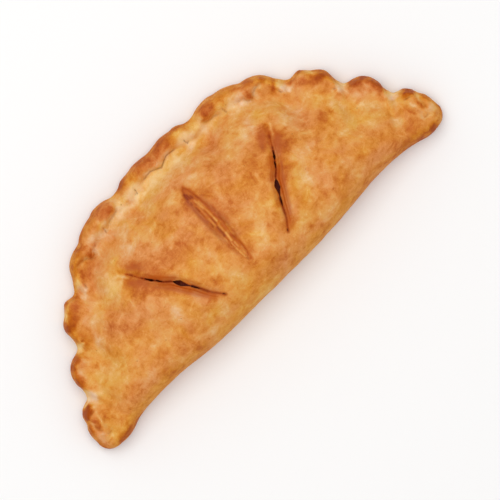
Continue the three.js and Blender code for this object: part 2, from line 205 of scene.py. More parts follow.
def top_height(s, inwards):
    """The dough's upper surface at a distance in from the outline, before its fine relief."""
    from_fold = s.width - inwards
    x, y = point_across(s, inwards)
    edge = RIM_SIDE * s.rim_top
    roll = edge + (s.rim_top - edge) * quarter_round(inwards / np.maximum(s.crest_in, 1e-6))
    dip = s.rim_top + (s.crease_top - s.rim_top) * ease(inwards, s.crest_in, s.crease_in + 1e-6)
    from_oval = inwards - s.bulge * ease(inwards, s.crease_in, 3 * s.crease_in + 1e-6)
    rise = np.clip((from_oval - s.crease_in) / np.maximum(0.5 * (s.width - s.bulge), 1e-6), 0, 1)
    soft = SOFT_RISE * (1 - 0.7 * ease(s.near, *CREASE_ANGLES))
    rise = (np.hypot(rise, soft) - soft) / (math.hypot(1, SOFT_RISE) - SOFT_RISE)
    dome = s.crease_top + (s.height - s.crease_top) * (1 - (1 - np.clip(rise, 0, 1)) ** 2)
    z = np.where(inwards < s.crest_in, roll, np.where(inwards < s.crease_in, dip, dome))
    inside = ease(np.minimum(inwards, from_fold), 0, SWELLS_IN)
    for along_x, along_y, phase, swell in SWELLS:
        z = z + inside * swell * np.sin(2 * np.pi * (along_x * x + along_y * y) + phase)
    press = 0
    for angle, amount in PINCHES:
        along = np.radians(s.near - angle) * s.reach
        press = press + amount * np.exp(-((along / PRESS_HALF_WIDTH) ** 2))
    z = z - PRESS_DEPTH * press * np.exp(-((inwards / PRESS_LENGTH) ** 2)) * quarter_round(inwards / 4)
    side = FOLD_SIDE * s.height
    rounding = quarter_round(from_fold / np.maximum(FOLD_ROUND * s.width, 1e-6)) ** 0.85
    z = side + (z - side) * rounding
    return TIP_HEIGHT + (z - TIP_HEIGHT) * s.taper


def base_height(s, inwards):
    """The dough's under surface: flat, and rounded up to the rim and the fold."""
    from_fold = s.width - inwards
    rim_under = np.maximum(np.minimum(RIM_UNDERCUT, UNDERCUT_SHARE * s.width), 1e-6)
    fold_under = np.maximum(np.minimum(FOLD_UNDERCUT, UNDERCUT_SHARE * s.width), 1e-6)
    rim_rise = RIM_SIDE * s.rim_top * (1 - quarter_round(inwards / rim_under))
    fold_rise = FOLD_SIDE * s.height * (1 - quarter_round(from_fold / fold_under))
    z = np.where(from_fold < fold_under, fold_rise, rim_rise)
    return TIP_HEIGHT * (1 - s.taper) + z * s.taper


def section_through(x, y):
    """The sections that pass through points of the plan, found by halving the range of angles."""
    near_end = np.full(np.shape(x), float(TIP_ANGLE))
    far_end = 180 - near_end
    for _ in range(28):
        angle = (near_end + far_end) / 2
        (rim_x, rim_y), (fold_x, fold_at) = rim_line(angle), fold_line(angle)
        past = (rim_x - fold_x) * (y - fold_at) - (rim_y - fold_at) * (x - fold_x) > 0
        near_end = np.where(past, angle, near_end)
        far_end = np.where(past, far_end, angle)
    s = section((near_end + far_end) / 2)
    return s, np.hypot(s.rim[0] - x, s.rim[1] - y)


# ---- Crust: creases, pinches, slit lips and blisters ----
# What the hands and the oven leave on the dough: the crease inside the rolled rim, finger marks along it,
# puckers at the tips, lips that curl at each steam slit, and small blisters.

# Lines of the plan, for the right half; the left half mirrors them, except for the middle slit.
INNER_VALLEY = [
    (0, 83.4), (5.5, 85.4), (10.4, 85), (14.3, 83.3), (23.4, 80.9), (28.9, 81.6), (33.8, 82.8),
    (39.5, 81.4), (43, 80), (48, 79), (52.4, 78.8), (56.6, 75.6), (60, 77), (64, 78), (68, 76), (69, 71),
    (71, 67), (75, 64.5),
]
# How deep the valley is, at shares of the way along it.
VALLEY_SHARE = [0, 0.1, 0.2, 0.4, 0.6, 0.7, 0.85, 1]
VALLEY_DEEP = [0.6, 0.6, 0.5, 0.7, 0.8, 0.7, 0.7, 0.4]
# Sharp creases: their line, depth, half width, and how dark the painted shade along them is.
CREASES = [
    ([(-0.6, 83.3), (0, 83.3), (1.2, 84), (2.6, 84.8), (5.2, 86), (8, 85.7), (10.8, 85.2)], 1.1, 0.7, 0.8),
    ([(30.8, 85), (32.2, 83.8), (34.5, 83.2), (37.5, 82.9), (39.5, 81.8)], 1.3, 1, 0.35),
    ([(54.6, 77.6), (55.4, 75.9), (57.3, 75.1), (58.8, 76), (60.2, 77.2), (63, 78), (66.5, 77.7)],
     1.5, 0.9, 0.4),
    ([(0, 84.5), (-0.2, 88), (0, 92)], 0.9, 0.9, 0),
    ([(17.1, 85.4), (17.5, 82.8), (18.8, 83)], 1, 0.6, 0.95), ([(42.8, 82.8), (43.3, 79.7)], 1, 0.5, 0.6),
    ([(51.6, 79.4), (52.6, 78.7)], 0.9, 0.6, 0.5), ([(70.3, 68.7), (70.8, 66.7)], 1.2, 0.7, 0.7),
    ([(91.2, 48.8), (92.2, 48.4)], 0.8, 0.6, 0.4),
    ([(113.2, 18.9), (115, 18.3), (116.6, 17.9)], 0.8, 0.8, 0.6),
    ([(113.6, 17), (114.3, 13), (115.4, 8.5)], 0.5, 1.1, 0),
    ([(119.4, 16.4), (119.7, 12), (118.4, 8.2)], 0.6, 1, 0),
    ([(114, 5.2), (115.6, 4.8), (117, 5.2)], 0.5, 0.9, 0.35),
    ([(37.8, 66), (35.5, 69.5), (33.5, 73.5), (31, 76)], -0.5, 1, 0),
    ([(38.8, 62.6), (42, 60.8), (46, 61)], -0.4, 1.2, 0),
]
SIDE_SLIT = [
    (54.2, 62.3), (51.2, 57.2), (50, 55), (47.4, 50.8), (45.1, 47.1), (43.8, 45.1), (42.2, 43.5),
    (41, 41.4), (39.4, 39.9), (37, 37.6), (35.9, 36), (34.2, 33.2), (32.5, 30.2), (31, 28), (29.9, 26),
    (28.8, 23.8), (27.4, 21), (26, 18.5), (24.3, 16.4), (21.9, 13.6),
]
MIDDLE_SLIT = [
    (0, 69), (-0.1, 66), (-0.2, 62), (0, 56), (0.1, 48), (0, 43), (-0.1, 38), (-0.4, 33), (-0.5, 28),
    (-0.6, 22), (-1.1, 17.6),
]
VALLEY_DEPTH, VALLEY_HALF_WIDTH = 1.5, 2.4
CUT_DEPTH, CUT_WIDTH = 2.6, 4.6  # a side slit's sloped face
LIP_DROP, LIP_WIDTH = 1.6, 2.8  # its curled lip
MIDDLE_DEPTH = 2.2  # the valley that the middle slit lies in
MIDDLE_FLAT = 2.1  # that valley's flat bottom, on either side of the line
MIDDLE_LEFT, MIDDLE_RIGHT = 5.2, 4.2  # how far its sides reach
LAYER = 1.5  # between the torn layers that show on a slit's face


def measured(line):
    """A line's points, the lengths of its stretches, and the way along it to each point."""
    points = np.array(line, float)
    lengths = np.hypot(*(points[1:] - points[:-1]).T)
    return points, lengths, np.concatenate([[0], np.cumsum(lengths)])


def beside(x, y, line):
    """Signed distance to a line of points, positive on its left, and the share of the way along it."""
    points, lengths, before = measured(line)
    nearest = np.full(np.shape(x), 1e9)
    signed = np.zeros(np.shape(x))
    share = np.zeros(np.shape(x))
    for i, (start, end) in enumerate(zip(points[:-1], points[1:])):
        along = (end - start) / lengths[i]
        t = np.clip((x - start[0]) * along[0] + (y - start[1]) * along[1], 0, lengths[i])
        gap_x = x - start[0] - t * along[0]
        gap_y = y - start[1] - t * along[1]
        distance = np.hypot(gap_x, gap_y)
        closer = distance < nearest
        side = np.where(along[0] * gap_y - along[1] * gap_x >= 0, 1, -1)
        nearest = np.where(closer, distance, nearest)
        signed = np.where(closer, side * distance, signed)
        share = np.where(closer, (before[i] + t) / before[-1], share)
    return signed, share


def bump(distance, half_width):
    """1 at no distance, falling smoothly to nothing on both sides."""
    return np.exp(-((distance / half_width) ** 2))


def soft_noise(x, y, z, size, octaves=3, seed=0.0):
    """Smooth noise from about -1 to 1 whose largest features are size millimetres across."""
    shift = Vector((seed * 17.3, seed * 5.1, seed * 9.7))
    points = np.stack([x, y, z], -1).reshape(-1, 3) / size
    values = [noise.fractal(Vector(p) + shift, 1.0, 2.0, octaves) for p in points.tolist()]
    return np.array(values).reshape(np.shape(x))


BLISTER_COUNT = 150
BLISTERS_REACH = 112
draw = random.Random(7)
BLISTERS = []
for _ in range(BLISTER_COUNT):
    reach = draw.random() ** 0.5 * BLISTERS_REACH
    turn = math.radians(draw.uniform(4, 176))
    radius = 1.2 + 3.4 * draw.random() ** 2
    height = radius * draw.uniform(0.05, 0.13)
    BLISTERS.append((reach * math.cos(turn), 0.8 * reach * math.sin(turn), radius, height))


def oval_bump(x, y, oval_x, oval_y, long_side, short_side, turn=0):
    """A soft mound from 0 to 1, for an oval of a place, half widths and a turn in degrees."""
    turn = math.radians(turn)
    along = ((x - oval_x) * math.cos(turn) + (y - oval_y) * math.sin(turn)) / long_side
    over = ((y - oval_y) * math.cos(turn) - (x - oval_x) * math.sin(turn)) / short_side
    return np.exp(-((along**2 + over**2) ** 1.2))


def mounded(x, y, ovals):
    """The sum of soft mounds at points of the plan, each an oval and its amount."""
    return sum(amount * oval_bump(x, y, *oval) for *oval, amount in ovals)


def relief(x, y):
    """How far the surface stands above or below the plain body at points of the plan, in millimetres."""
    right = abs(x)
    z = mounded(right, y, KNOBS)
    off, share = beside(right, y, INNER_VALLEY)
    deep = np.interp(share, VALLEY_SHARE, VALLEY_DEEP)
    z -= VALLEY_DEPTH * deep * bump(off, VALLEY_HALF_WIDTH)
    for line, depth, half_width, _ in CREASES:
        off = beside(right, y, line)[0]
        z -= depth * bump(off, half_width)
        z += 0.3 * depth * np.where(off > 0, bump(off - 2.4 * half_width, 1.4 * half_width), 0)
    # A side slit: a curled lip on the inner side, a sloped cut face on the outer side.
    off, share = beside(right, y, SIDE_SLIT)
    lens = np.sin(np.pi * np.clip(share, 0.01, 0.99)) ** 0.6
    face = CUT_DEPTH * lens * (1 - ease(off, 0.1, CUT_WIDTH * lens + 0.4))
    ridge = 0.22 * lens * np.cos(2 * math.pi * off / LAYER) * bump(off - 2.4, 1.6)
    lip = LIP_DROP * lens * (1 - ease(-off, 0, LIP_WIDTH))
    z -= np.where(off >= 0, face + ridge, lip) * ease(lens, 0.05, 0.3)
    z += lens * np.where(off < 0, 1.1 * bump(off + 4.6, 3), 0.5 * bump(off - 6.4, 2.2))
    # The middle slit: a wide valley, its left side sloped and its right side steeper.
    off, share = beside(x, y, MIDDLE_SLIT)
    lens = np.sin(np.pi * np.clip(share, 0.02, 0.98)) ** 0.55
    # The line runs down the plan, so its left is the right side of the slit.
    left_side = 1 - ease(-off, MIDDLE_FLAT * lens, MIDDLE_LEFT * lens)
    right_side = 1 - ease(off, MIDDLE_FLAT * lens, MIDDLE_RIGHT * lens)
    z -= MIDDLE_DEPTH * lens * np.where(off < 0, left_side, right_side)
    z += 0.6 * lens * bump(abs(off) - 6.4, 2.2)
    for blister_x, blister_y, radius, height in BLISTERS:
        z += height * bump(np.hypot(x - blister_x, y - blister_y), radius)
    return z


# Once it is laid out, each half is drawn apart from the middle, where the dough stretches.
SPREAD = 0.9
SPREAD_OVER = 10  # millimetres on either side of the middle
LAYOUT_END = 140  # farther out than the tips
LAID_OUT = np.linspace(-LAYOUT_END, LAYOUT_END, 20 * LAYOUT_END + 1)
DRAWN_APART = LAID_OUT + SPREAD * np.sin(np.pi / 2 * np.clip(LAID_OUT / SPREAD_OVER, -1, 1))


def from_layout(points):
    """Millimetres of the layout, turned into metres of the frame."""
    points = np.array(points, float)
    points[..., 0] = np.interp(points[..., 0], LAID_OUT, DRAWN_APART)
    return (points - (0, LAYOUT_Y, 0)) * MM


def to_layout(points):
    """Metres of the frame, turned into millimetres of the layout."""
    points = np.array(points, float) / MM + (0, LAYOUT_Y, 0)
    points[..., 0] = np.interp(points[..., 0], DRAWN_APART, LAID_OUT)
    return points


def points_of(mesh):
    points = np.zeros(3 * len(mesh.vertices))
    mesh.vertices.foreach_get("co", points)
    return points.reshape(-1, 3)


def move_points(mesh, points):
    mesh.vertices.foreach_set("co", np.asarray(points, float).ravel())
    mesh.update()


def lay_out(piece, x, y, z):
    """Moves a piece's points to places of the layout."""
    move_points(piece.data, from_layout(np.stack([x, y, z], -1)))


def in_edit_mode(*steps):
    """Does steps on the active piece in edit mode."""
    bpy.ops.object.mode_set(mode="EDIT")
    for step in steps:
        step()
    bpy.ops.object.mode_set(mode="OBJECT")


def select_all():
    bpy.ops.mesh.select_all(action="SELECT")


def close_up():
    """Merges the points at the poles and turns every face outwards."""
    in_edit_mode(
        select_all,
        lambda: bpy.ops.mesh.remove_doubles(threshold=1e-6),
        lambda: bpy.ops.mesh.normals_make_consistent(inside=False),
    )


def select_faces(mesh, chosen):
    in_edit_mode(lambda: bpy.ops.mesh.select_all(action="DESELECT"))
    mesh.polygons.foreach_set("select", np.asarray(chosen, bool))


def only(piece):
    """Makes one piece the active and only selected one."""
    bpy.ops.object.select_all(action="DESELECT")
    piece.select_set(True)
    bpy.context.view_layer.objects.active = piece


def applied(piece, kind, **settings):
    """Adds a modifier to a piece and applies it."""
    only(piece)
    modifier = piece.modifiers.new(kind.title(), kind)
    for name, value in settings.items():
        setattr(modifier, name, value)
    bpy.ops.object.modifier_apply(modifier=modifier.name)


def globe(name, around, stations):
    """A unit globe whose poles are at the tips, to be moved into a form of the dough."""
    bpy.ops.object.select_all(action="DESELECT")
    bpy.ops.mesh.primitive_uv_sphere_add(segments=around, ring_count=stations, radius=1, location=(0, 0, 0))
    bpy.context.object.name = name
    return bpy.context.object


AROUND = 130  # faces round a section
STATIONS = 360  # sections from tip to tip
OVER_TOP = 0.84  # share of a loop round the dough that is on top
CROWDING = 1.3  # the sections crowd towards the tips by this power
RIM_PART, FOLD_PART = 0.3, 0.8  # shares of that top where the rim's part ends and the fold's starts
FOLD_STRETCH = 0.14  # share of the width that the fold's part covers

# EVEN_SHARE is the share of the way across the top of a middling section, at each of these samples.
SAMPLES = np.linspace(0, 1, 600)
MIDDLING_ANGLE = 62.0


def across(s, t):
    """Distance in from the outline, for 0 to 1 across the top; rounded edges get more of the range."""
    crease = s.crease_in * (1 - np.cos(np.clip(t / RIM_PART, 0, 1) * np.pi / 2))
    stretch = FOLD_STRETCH * s.width
    across_dome = np.clip((t - RIM_PART) / (FOLD_PART - RIM_PART), 0, 1)
    dome = s.crease_in + (s.width - stretch - s.crease_in) * across_dome
    fold = s.width - stretch * (1 - np.sin(np.clip((t - FOLD_PART) / (1 - FOLD_PART), 0, 1) * np.pi / 2))
    return np.where(t < RIM_PART, crease, np.where(t < FOLD_PART, dome, fold))


middling = section(np.full(SAMPLES.shape, MIDDLING_ANGLE))
steps_in = across(middling, SAMPLES)
step_lengths = np.hypot(np.diff(steps_in), np.diff(top_height(middling, steps_in)))
way = np.concatenate([[0], np.cumsum(step_lengths)])
EVEN_SHARE = way / way[-1]


def places_on_globe(points):
    """u round the dough and v along it, for points of a unit globe whose poles are the tips."""
    unit = points / np.linalg.norm(points, axis=1)[:, None]
    v = np.arccos(unit[:, 2].clip(-1, 1)) / np.pi
    u = (np.arctan2(unit[:, 1], unit[:, 0]) / (2 * np.pi)) % 1
    return u, v


def station_angle(v):
    """The angle of the section at v along the dough; the sections crowd towards the tips."""
    near = TIP_ANGLE + (90 - TIP_ANGLE) * (2 * np.minimum(v, 1 - v)) ** CROWDING
    return np.where(v < 0.5, near, 180 - near)


def body_points(u, v):
    """The dough's plain body, with its distance in from the outline and whether it is the top."""
    s = section(station_angle(v))
    top = u < OVER_TOP
    t = np.interp(u / OVER_TOP, EVEN_SHARE, SAMPLES)
    under = s.width * (0.5 + 0.5 * np.cos(np.pi * np.clip((u - OVER_TOP) / (1 - OVER_TOP), 0, 1)))
    inwards = np.where(top, across(s, t), under)
    x, y = point_across(s, inwards)
    z = np.where(top, top_height(s, inwards), base_height(s, inwards))
    return x, y, z, inwards, top


crust = globe("crust_dough", AROUND, STATIONS)

# Finer faces beside the slits and creases, to this far from their lines, and at the tips' rim.
FINER_SIDE, FINER_MIDDLE, FINER_CREASE = 5.4, 5.6, 2
FINER_TIP = 104  # out from the middle
FINER_TIP_RIM = 30  # in from the outline
centres = np.zeros(3 * len(crust.data.polygons))
crust.data.polygons.foreach_get("center", centres)
x, y, z, inwards, top = body_points(*places_on_globe(centres.reshape(-1, 3)))
finer = abs(beside(abs(x), y, SIDE_SLIT)[0]) < FINER_SIDE
finer |= abs(beside(x, y, MIDDLE_SLIT)[0]) < FINER_MIDDLE
finer |= np.min([abs(beside(abs(x), y, crease[0])[0]) for crease in CREASES], axis=0) < FINER_CREASE
finer |= (abs(x) > FINER_TIP) & (inwards < FINER_TIP_RIM) & (y > -1)
bpy.context.tool_settings.mesh_select_mode = (False, False, True)
select_faces(crust.data, top & finer)
in_edit_mode(bpy.ops.mesh.subdivide)

x, y, z, inwards, top = body_points(*places_on_globe(points_of(crust.data)))
z = z + np.where(top, relief(x, y) * ease(inwards, 0, 3), 0)
lay_out(crust, x, y, z)
bpy.context.tool_settings.mesh_select_mode = (True, False, False)
close_up()

# The dough's fine unevenness, out along its own surface; the base is smoother, and stays flat.
# Height, the size of its features, octaves and seed.
UNEVEN = [(0.42, 21, 2, 1), (0.2, 7, 3, 2)]
BASE_UNEVEN = 0.2  # of that, on the base
points = to_layout(points_of(crust.data))
normals = np.zeros(3 * len(points))
crust.data.vertices.foreach_get("normal", normals)
normals = normals.reshape(-1, 3)
uneven = sum(height * soft_noise(*points.T, *kind) for height, *kind in UNEVEN)
uneven *= np.where(normals[:, 2] < -0.5, BASE_UNEVEN, 1)
points += normals * uneven[:, None]
points[:, 2] = np.maximum(points[:, 2], 0)
move_points(crust.data, from_layout(points))

# ---- Crust: the pocket and the steam slits ----
# The slits were cut through the top crust with a knife before baking. They have opened in the oven, so
# their edges are jagged, and in places the lips still touch. The pocket is the room that the filling takes.

CRUST_THICKNESS = 6
POCKET_HALF_LENGTH = 101
POCKET_MIDDLE = 22  # in from the fold's line, where the pocket is longest
POCKET_TO_FOLD = 16  # from there
POCKET_TO_RIM = 55  # from there
BLADE_TOP = 3  # above the crust
OPEN_DROP = 19  # from a blade's top to its bottom edge, where the slit is open
SHUT_DROP = 0.5  # the same, where the lips touch
THINNEST = 0.05  # half of a blade's least thickness
SHARPEST = 52  # degrees: the crust's edges that turn more than this stay crisp
# Width of the open slit at shares of the way along it.
SIDE_GAP_SHARE = [
    0, 0.235, 0.245, 0.255, 0.268, 0.285, 0.31, 0.33, 0.345, 0.355, 0.368, 0.38, 0.395, 0.41, 0.425, 0.44,
    0.52, 0.535, 0.55, 0.575, 0.6, 0.63, 0.655, 0.672, 0.682, 0.695, 0.72, 0.745, 0.765, 0.78, 0.975, 0.985,
    1,
]
SIDE_GAP = [
    0.05, 0.05, 0.25, 0.05, 0.1, 0.5, 0.8, 1.2, 1, 0.2, 0.12, 0.6, 0.8, 0.4, 0.3, 0.12, 0.12, 0.8, 1.8, 2.6,
    2.7, 2.2, 1.2, 0.6, 0.3, 0.9, 1, 0.8, 0.35, 0.05, 0.05, 0.4, 0.1,
]
MIDDLE_GAP_SHARE = [
    0, 0.025, 0.035, 0.06, 0.136, 0.21, 0.33, 0.465, 0.56, 0.64, 0.72, 0.79, 0.91, 0.965, 0.975, 1,
]
MIDDLE_GAP = [0.05, 0.05, 1.2, 2.6, 4.4, 4, 4.2, 4.6, 4.2, 3.4, 2.8, 3, 3, 1.6, 0.05, 0.05]


def pocket_points(u, v, drawn_in=0.0):
    """A globe's points moved to the room inside the dough."""
    taper = np.sin(np.pi * v).clip(0)
    turn = 2 * np.pi * u
    side = np.cos(turn)
    reach = np.where(side > 0, (POCKET_TO_RIM - drawn_in) * taper, (POCKET_TO_FOLD - drawn_in) * taper**0.6)
    x = (POCKET_HALF_LENGTH - drawn_in) * np.cos(np.pi * v)
    y = POCKET_MIDDLE + side * reach
    s, inwards = section_through(x, y)
    roof = top_height(s, inwards) - CRUST_THICKNESS - drawn_in
    floor = CRUST_THICKNESS + drawn_in
    half = (roof - floor) / 2
    lift = np.sign(np.sin(turn)) * abs(np.sin(turn)) ** 0.6 * taper**0.6
    return x, y, floor + half * (1 + lift)


def along_line(line, share):
    """Points and the unit vectors to the left, at shares of the way along a line of points."""
    points, lengths, before = measured(line)
    before = before / lengths.sum()
    x = np.interp(share, before, points[:, 0])
    y = np.interp(share, before, points[:, 1])
    step = 0.02
    turn_x = np.interp(share + step, before, points[:, 0]) - np.interp(share - step, before, points[:, 0])
    turn_y = np.interp(share + step, before, points[:, 1]) - np.interp(share - step, before, points[:, 1])
    length = np.hypot(turn_x, turn_y)
    return x, y, -turn_y / length, turn_x / length


def thick_grid(name, along, over, thickness):
    """A grid two units square with a thickness, to be moved into the form of a blade or a strip."""
    bpy.ops.object.select_all(action="DESELECT")
    bpy.ops.mesh.primitive_grid_add(x_subdivisions=along, y_subdivisions=over, size=2)
    bpy.context.object.name = name
    in_edit_mode(
        select_all,
        lambda: bpy.ops.mesh.extrude_region_move(TRANSFORM_OT_translate={"value": (0, 0, thickness)}),
    )
    return bpy.context.object


def slit_blade(name, line, shares, gaps, mirror, roughness, seed):
    """A thin closed blade along a slit, from above the crust down into the pocket, with ragged sides."""
    blade = thick_grid(name, along=150, over=10, thickness=1)
    start = points_of(blade.data)
    share = (start[:, 0] + 1) / 2
    x, y, left_x, left_y = along_line(line, share)
    side = np.where(start[:, 2] > 0.5, 1, -1)
    ragged = soft_noise(share * 55, side * 9.0, start[:, 1] * 1.5, 2.6, 3, seed)
    gap = np.interp(share, shares, gaps)
    half = gap / 2 * (1 + roughness * ragged) + THINNEST
    x = x + left_x * side * half
    y = y + left_y * side * half
    level = (start[:, 1] + 1) / 2
    s, inwards = section_through(x, y)
    # Where the lips touch, the blade stays above the crust.
    drop = SHUT_DROP + (OPEN_DROP - SHUT_DROP) * ease(gap, 0.16, 0.3)
    z = top_height(s, inwards) + BLADE_TOP - level * drop
    lay_out(blade, mirror * x, y, z)
    close_up()
    return blade


pocket = globe("pocket", around=32, stations=48)
lay_out(pocket, *pocket_points(*places_on_globe(points_of(pocket.data))))
close_up()
cutters = [
    pocket,
    slit_blade("right_blade", SIDE_SLIT, SIDE_GAP_SHARE, SIDE_GAP, 1, 0.4, 3),
    slit_blade("left_blade", SIDE_SLIT, SIDE_GAP_SHARE, SIDE_GAP, -1, 0.4, 3),
    slit_blade("middle_blade", MIDDLE_SLIT, MIDDLE_GAP_SHARE, MIDDLE_GAP, 1, 0.15, 5),
]
for cutter in cutters:
    applied(crust, "BOOLEAN", operation="DIFFERENCE", solver="MANIFOLD", object=cutter)
    bpy.data.objects.remove(cutter)

only(crust)
bpy.ops.object.shade_smooth_by_angle(angle=math.radians(SHARPEST))

# ---- Crust: how it baked, and painted light and shade ----
# The oven browns what stands up and thin edges first. Pinched, creased and shaded dough stays pale, cut
# faces turn red-brown where the sauce has boiled up, and the base is browned evenly by the stone. Light and
# shade are painted too: painted shade in the creases, pinholes and slits, and painted light and painted
# highlights on pinches, ridges and slopes.

# Patches that browned more, and less: place, half widths, turn in degrees where there is one, and amount in
# per cent. The paler ones are partly less browned dough and partly painted light: painted highlights, and
# light that lifts shaded tucks and slopes. They are laid out for the right half; the left half mirrors
# them.
BROWNED = [
    (6.6, 92, 5.8, 3.2, 18), (10, 88.6, 3.4, 3, 16), (3, 88.4, 1.6, 2.4, 30, 22),
    (18.4, 92.6, 3.6, 1.8, 22), (24, 82, 2.6, 1.2, 8), (14, 81.6, 1.8, 1.4, 14),
    (36.2, 88.2, 4.4, 3.4, -10, 26), (33.6, 85.6, 2, 2, 18), (40.4, 87.8, 1, 1.4, 22),
    (46, 86.6, 2.6, 3.4, -20, 20), (44.6, 84, 1.6, 1.6, 16), (53, 88, 6, 1.6, -20, 20),
    (60.6, 82.6, 4.6, 3, -20, 30), (57, 77.4, 2.2, 1.9, 52), (68, 78.8, 2, 1.6, -40, 30),
    (72, 76, 3.4, 1.2, -60, 6), (80.6, 65, 6, 2.6, -20, 16), (68, 72.2, 1.4, 3, 5, 26),
    (81, 68.2, 5.4, 1.4, 3, 30), (82, 63.4, 6, 3.6, -15, 24), (88, 59.6, 3.6, 2.4, -35, 36),
    (92.8, 59.2, 1.6, 3.4, 25, 40), (94.2, 54, 1.8, 2.6, 5, 12), (91.6, 48.6, 1.6, 0.8, 10, 30),
    (91.4, 46, 2, 1.2, -30, 22), (101.8, 43.4, 4.4, 2.4, -10, 42), (106, 42.6, 2, 1.6, -30, 30),
    (108.2, 36, 2.8, 6, 10, 46), (107, 39.6, 2.2, 2.6, 20, 6), (96, 34.6, 2.2, 1.4, 20, 22),
    (96.6, 41, 1.2, 1, 18), (115.6, 21.4, 3.6, 2.8, -35, 52), (118.6, 21, 2, 2.4, 30, 40),
    (118.4, 18.6, 1.6, 1.6, 36), (111.4, 13.4, 1.3, 3.4, 8, 28), (117.4, 12, 1.4, 4.4, 8, 32),
    (121.7, 11.8, 1.2, 2.4, 5, 32), (123.4, 6, 0.9, 6, 3, 20), (119.2, 2.6, 2.4, 0.9, 22),
    (121.8, 0.6, 1.6, 1.6, 24), (108, -1.8, 7, 1.6, -10, 26), (114, -3, 2.6, 1.4, 34),
    (100, -0.6, 7, 2.6, -6, 16), (46.4, 57.4, 3.6, 2.2, 50, 26), (43, 55, 6, 5, 20, 28),
    (41.6, 59.6, 3.4, 2.4, 20), (50, 61.4, 2.4, 2, 50, 26), (53.4, 53, 2, 3.6, 20, 20),
    (49.6, 48, 5, 4, 40, 30), (49, 43, 6, 3, 30, 24), (42, 34.6, 5, 3.4, 50, 34), (44, 39, 5, 3, 50, 20),
    (20.6, 20.4, 3.4, 3, 34), (28, 15.4, 5, 2, 10, 24), (7.4, 30, 4, 4, 26), (91, 57, 3.4, 2, 34),
    (90, 12, 5, 3.4, 26), (71.6, 6, 3.4, 3, 32), (64, 12.4, 4, 2.4, 26), (105.4, 27.4, 3, 3, 24),
    (106, 15, 3, 4, 20), (52.4, 44.6, 4, 3, 24), (53, 57.6, 1.6, 4, 10, 26), (28, 70, 5, 5, 20),
    (71.4, 73.6, 2, 2, 20), (107, 8, 4, 3, 14), (17, 53.6, 2, 4, 12), (5, 58, 2, 4, 14),
    (26, 73.4, 5, 4, 30, 20), (9, 72, 5, 2.4, 16), (47, 73, 7, 2.2, -5, 22), (62, 74, 5, 3.4, 10, 16),
    (23, 91.6, 3.4, 2.2, 30), (42, 91, 4.4, 2.2, -5, 16), (12, 94.8, 5, 1.4, 10), (5, 92.4, 3, 2, 12),
    (41.4, 71, 3, 2, 20), (45.4, 79, 3.4, 1.6, 16), (51, 53, 3, 4, 20), (45, 53, 4, 2, 20, 18),
    (70.4, 62.4, 3, 3.4, 16), (88, 52.4, 5, 3, 14), (65, 71, 7, 1.8, 14), (30.6, 42, 4, 2.4, 10, 20),
    (52.4, 41.6, 3, 2.4, 16), (25, 16, 5, 3, 14), (50, 16, 2.6, 4, 16), (58, 8, 4.4, 3, 18),
    (75.4, 14, 3.6, 2, 24), (119.8, 16, 1.2, 3, 20, 20), (110, -1, 6, 1.8, 18), (10, 28, 3, 3, 12),
    (35, 7, 4, 2, 12), (56, 80, 3, 1.6, 20, 12), (41, 79, 2, 0.9, 10, 16), (17, 67, 4.6, 3.4, 20, 22),
    (21.4, 59, 6.4, 6.4, 20), (22, 47, 7, 6, 14), (28, 48, 9, 7, 30, 20), (34, 50, 3, 3.4, 20),
    (40, 45.6, 3.2, 3.6, -50, 24), (77, 43.4, 5.4, 3.4, -10, 26), (70, 40, 8, 3.6, 10, 20),
    (66, 47.4, 6, 3.4, 10, 18), (64.6, 35, 6, 2.4, 20, 16), (72, 31.6, 5, 2, 20), (56, 48, 4.4, 3, 22),
    (57.4, 52.6, 2.4, 2.4, 30, 20), (84, 53, 7, 2.4, -10, 12), (55, 22, 7, 3.4, 20, 14),
    (50, 12.6, 8, 2.6, 20), (37, 18, 5, 3.6, 16), (38, 27, 3.6, 2.4, 12), (92, 19, 8, 5, 10, 10),
    (98, 12, 3, 3, 18), (103, 11, 3, 2, 30, 14), (98.6, 25, 3, 1.4, -20, 16), (80, 24, 8, 4, 12),
    (70, 15, 9, 4, 10), (9.6, 42, 4, 5, 16), (13, 49, 2.4, 4, 14), (10.4, 60, 1.4, 2, 20),
    (11, 27, 5, 5, 10), (17, 22, 3.6, 2.4, 14), (11.4, 65, 3, 3, 16), (23.6, 67, 3, 2, 12),
    (33.4, 87.4, 2, 1.8, 16), (46.4, 66, 4, 2, 12), (45, 55.6, 4.4, 2.4, 40, 12), (84, 58.4, 4.4, 1.8, 12),
    (74.8, 66.8, 1.4, 2.4, 12), (14.6, 51.4, 2, 3.4, 10), (18.6, 18, 2.6, 2.4, 12), (25, 24, 2.4, 2, 10),
    (38.2, 21.4, 2, 3, 16), (33, 6, 3.4, 1.8, 10, 16), (6.4, 45, 2, 3.4, 10), (37, 44, 2.6, 2.4, 10),
    (92, 7, 4.4, 2.4, 14), (93, 2.4, 5, 2, 14), (68, 3, 5, 2, 12), (104.6, 4, 3, 3, 12), (53.4, 4, 3, 4, 8),
    (112, -1, 5, 2, 10), (118.6, -1, 3, 1.6, 10), (96.6, 41.6, 2, 2, 10), (95.4, 34, 2, 1.6, 12),
    (67.6, 23, 3, 2.6, 12), (48, 18.6, 3, 4, 8), (53, 86, 3, 1.4, -20, 10), (22.4, 88.4, 2, 1.8, 14),
    (12, 81.6, 4, 1, 8), (102.6, 15, 2, 1.8, 12), (63.6, 12.6, 3, 2, 8), (78.6, 36, 3, 4, 6),
    (89.6, 46.6, 2.4, 3, 10), (84.6, 69, 2, 1, -30, 20),
]
